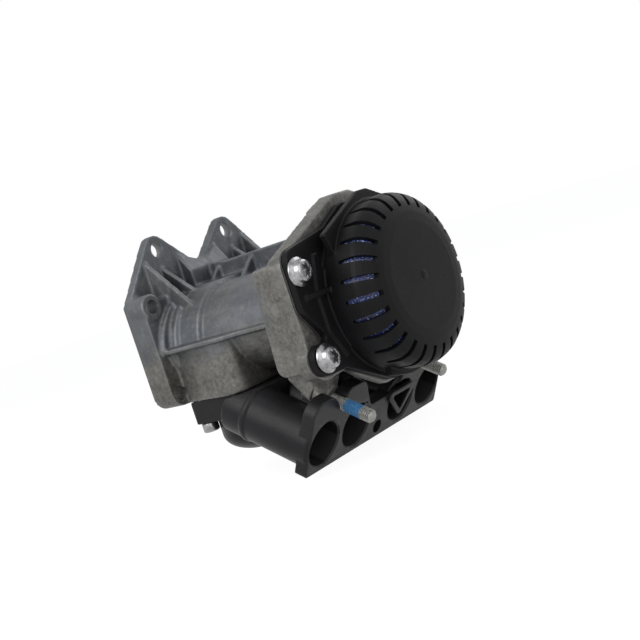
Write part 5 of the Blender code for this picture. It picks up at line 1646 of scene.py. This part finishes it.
@dataclass
class InnerParts:
    """Turned pieces on the main bore's axis, and their springs and rings."""

    steps: int = 96
    joint: str = "plunger_slide"
    ring_gap: float = 12.0
    ring_thick: float = 1.3
    coil_steps: int = 40
    coils: tuple[Coil, ...] = (
        Coil("pedal_spring", "graduating_spring", "primary_piston", 0.5, 40.0, 23.6, 39.7, 14.0, 1.2, 3),
        Coil("piston_spring", "primary_return_spring", "root", 0.70, 64.0, 50.3, 63.7, 18.0, 0.9, 3),
        Coil("relay_spring", "relay_return_spring", "root", 0.66, 108.3, 96.3, 108.0, 18.0, 0.9, 3),
        Coil("inlet_spring_1", "primary_valve_spring", "root", 0.63, 77.0, 70.1, 76.7, 8.0, 0.6, 2),
        Coil("inlet_spring_2", "secondary_valve_spring", "root", 0.64, 121.3, 114.4, 121.0, 8.0, 0.6, 2),
    )

    def turned(self, finishes: Finishes, name: str, node: str, body: str, slot: str, profile: Sequence[Point2],
               soften: float = 0.2) -> None:
        """Model one turned piece.

        Args:
            finishes: the valve's materials.
            name: object's name.
            node: CAD node that it replaces.
            body: CAD body that it rides on.
            slot: the record's material slot.
            profile: half section in millimetres.
            soften: width of its chamfers.
        """
        piece = Bench.turn(name, profile, self.steps)
        Bench.bevel(piece, soften, 2, 40.0)
        Bench.smooth(piece)
        finishes.dress(piece, slot, body, node)

    def snap_ring(self, finishes: Finishes, name: str, node: str, start: float, outer: float, inner: float) -> None:
        """Model one open snap ring.

        Args:
            finishes: the valve's materials.
            name: object's name.
            node: CAD node that it replaces.
            start: its front plane.
            outer: outer radius.
            inner: inner radius.
        """
        first, last = self.ring_gap, 360.0 - self.ring_gap
        outline = Outline.arc((0.0, 0.0), outer, first, last, self.steps)
        outline += Outline.arc((0.0, 0.0), inner, last, first, self.steps)
        piece = Bench.prism(name, Plane.YZ, outline, start, start + self.ring_thick)
        Bench.bevel(piece, 0.12, 2, 50.0)
        Bench.smooth(piece)
        finishes.dress(piece, "steel", "root", node)

    def spring(self, finishes: Finishes, coil: Coil) -> None:
        """Model one coil spring.

        Args:
            finishes: the valve's materials.
            coil: its sizes.
        """
        wire, steps = coil.wire, self.coil_steps * coil.turns
        circle = [Vector(((coil.low + wire + a) * MM, (coil.radius + b) * MM, 0.0))
                  for a, b in Outline.circle((0.0, 0.0), wire, 14)]
        piece = Bench.ring(coil.name, circle, False)
        Bench.apply(piece, "SCREW", axis="X", angle=2 * math.pi * coil.turns, steps=steps, render_steps=steps,
                    screw_offset=(coil.high - coil.low - 2 * wire) * MM, use_merge_vertices=False)
        Bench.edit(piece, lambda: bpy.ops.mesh.fill_holes(sides=0))
        Bench.smooth(piece, 60.0)
        finishes.dress(piece, "steel", coil.body, coil.node)
        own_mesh(piece)

    def build(self, finishes: Finishes) -> None:
        """Model all inner pieces.

        Args:
            finishes: the valve's materials.
        """
        plunger = [(0.0, 0.0), (0.0, 14.0), (1.0, 15.0), (17.3, 15.0), (17.3, 19.0), (21.0, 19.0), (21.0, 9.0),
                   (8.0, 9.0), (8.0, 0.0)]
        self.turned(finishes, "plunger_turning", "plunger", "plunger", "anodised", plunger)
        bush = [(3.0, 19.3), (3.0, 27.7), (17.0, 27.7), (17.0, 15.3), (6.3, 15.3), (6.3, 19.3)]
        self.turned(finishes, "bush_moulding", "guide_bush", "root", "inner_plastic", bush, 0.3)
        wiper = [(3.3, 15.3), (3.3, 16.6), (4.0, 17.6), (3.3, 18.4), (3.3, 19.0), (6.0, 19.0), (6.0, 15.3)]
        self.turned(finishes, "wiper_ring", "plunger_wiper", "root", "rubber", wiper, 0.15)
        seat = Outline.band(21.3, 23.3, 20.0, 9.0)
        self.turned(finishes, "spring_plate", "spring_seat", "plunger", "steel", seat, 0.3)
        self.snap_ring(finishes, "front_ring", "front_snap_ring", 1.4, 28.9, 23.0)
        self.snap_ring(finishes, "rear_ring", "rear_snap_ring", 126.1, 33.9, 27.0)
        flap = Outline.band(124.6, 125.8, 29.0, 7.5)
        self.turned(finishes, "flap_disc", "exhaust_flap", "root", "rubber", flap)
        for coil in self.coils:
            self.spring(finishes, coil)


@dataclass
class Studio:
    """Camera, lamps, world and floor."""

    focal_pixels: float = 1120.34
    image: int = 640
    floor_z: float = -90.0
    eye: Corner = (511.825, -521.428, 43.638)
    aim: Corner = (85.0, 0.0, -5.0)
    world_strength: float = 0.4
    floor_size: float = 6.0
    floor_shade: float = 0.15
    floor_glow: float = 0.93
    lamps: tuple[tuple[str, Corner, float, float], ...] = (
        ("key", (-50.0, -700.0, 480.0), 600.0, 4.8),
        ("fill", (750.0, -300.0, 250.0), 700.0, 1.8),
        ("back", (300.0, 700.0, 500.0), 600.0, 2.4),
    )

    def camera(self) -> None:
        """Camera where the photograph was taken from."""
        # Rows: the directions that the camera has to its right, upwards and behind it.
        turn = Matrix(((0.7519955559514698, 0.5815841185524404, -0.31026214219079407),
                       (0.1931223834305782, 0.2556457672115161, 0.9472850609636615),
                       (0.6302431505755, -0.7722727204520538, 0.07992756970064485)))
        data = bpy.data.cameras.new("photo_camera")
        data.sensor_width = 36.0
        data.lens = self.focal_pixels / self.image * data.sensor_width
        data.clip_start, data.clip_end = 0.01, 20.0
        camera = bpy.data.objects.new("photo_camera", data)
        bpy.context.scene.collection.objects.link(camera)
        place = turn.transposed().to_4x4()
        place.translation = Vector(self.eye) * MM
        camera.matrix_world = place
        bpy.context.scene.camera = camera

    @staticmethod
    def lamp(name: str, place: Vector, aim: Vector, size: float, watts: float) -> None:
        """One soft square lamp.

        Args:
            name: lamp's name.
            place: where it hangs, in millimetres.
            aim: point that it faces.
            size: side in millimetres.
            watts: power.
        """
        data = bpy.data.lights.new(name, "AREA")
        data.size, data.energy = size * MM, watts
        lamp = bpy.data.objects.new(name, data)
        bpy.context.scene.collection.objects.link(lamp)
        lamp.location = place * MM
        lamp.rotation_mode = "QUATERNION"
        lamp.rotation_quaternion = (aim - place).to_track_quat("-Z", "Y")

    @staticmethod
    def split_rays(tree: bpy.types.NodeTree, plain: Socket, seen: Socket, output: str) -> None:
        """Give the rays that are seen one shader, and all others another.

        A ray is seen when it comes from the camera, or by way of a reflection or glass.

        Args:
            tree: node tree to add to.
            plain: shader of the other rays.
            seen: shader of the rays that are seen.
            output: name of the tree's output node.
        """
        path, mix = tree.nodes.new("ShaderNodeLightPath"), tree.nodes.new("ShaderNodeMixShader")
        total = path.outputs["Is Camera Ray"]
        for name in ("Is Glossy Ray", "Is Transmission Ray"):
            most = tree.nodes.new("ShaderNodeMath")
            most.operation = "MAXIMUM"
            tree.links.new(total, most.inputs[0])
            tree.links.new(path.outputs[name], most.inputs[1])
            total = most.outputs[0]
        tree.links.new(total, mix.inputs["Fac"])
        tree.links.new(plain, mix.inputs[1])
        tree.links.new(seen, mix.inputs[2])
        tree.links.new(mix.outputs[0], tree.nodes[output].inputs["Surface"])

    def world(self) -> None:
        """White surroundings that light the part gently and look white to the camera."""
        world = bpy.data.worlds.new("studio")
        bpy.context.scene.world = world
        world.use_nodes = True
        plain = world.node_tree.nodes["Background"]
        seen = world.node_tree.nodes.new("ShaderNodeBackground")
        plain.inputs["Color"].default_value = (0.95, 0.97, 1.0, 1.0)
        plain.inputs["Strength"].default_value = self.world_strength
        seen.inputs["Color"].default_value = (1.0, 1.0, 1.0, 1.0)
        self.split_rays(world.node_tree, plain.outputs[0], seen.outputs[0], "World Output")

    def floor(self) -> None:
        """Pale floor that keeps a faint shadow."""
        Bench.clear()
        bpy.ops.mesh.primitive_plane_add(size=self.floor_size, location=(0.08, 0.0, self.floor_z * MM))
        floor = bpy.context.active_object
        floor.name = "studio_floor"
        material = bpy.data.materials.new("studio_floor")
        material.use_nodes = True
        tree = material.node_tree
        shader = tree.nodes["Principled BSDF"]
        shader.inputs["Base Color"].default_value = (0.8, 0.8, 0.8, 1.0)
        shader.inputs["Roughness"].default_value = 0.9
        shade, glow = tree.nodes.new("ShaderNodeBsdfDiffuse"), tree.nodes.new("ShaderNodeEmission")
        for node, grey in ((shade, self.floor_shade), (glow, self.floor_glow)):
            node.inputs["Color"].default_value = (grey, grey, grey, 1.0)
        both = tree.nodes.new("ShaderNodeAddShader")
        tree.links.new(shade.outputs[0], both.inputs[0])
        tree.links.new(glow.outputs[0], both.inputs[1])
        self.split_rays(tree, shader.outputs[0], both.outputs[0], "Material Output")
        floor.data.materials.append(material)

    def build(self) -> None:
        """Set up the studio."""
        bpy.context.scene.view_settings.view_transform = "Standard"
        self.camera()
        self.world()
        self.floor()
        for name, place, size, watts in self.lamps:
            self.lamp(name, Vector(place), Vector(self.aim), size, watts)


def main() -> None:
    """Build every piece of the dressed valve."""
    logging.basicConfig(level=logging.INFO, format="%(message)s")
    finishes = Finishes()
    for part in (Casting(), SilencerCap(), FilterElement(), CapScrews(), PortManifold(), Fasteners(), InnerParts()):
        part.build(finishes)
    finishes.dress_nodes()
    Studio().build()


if __name__ == "__main__":
    main()
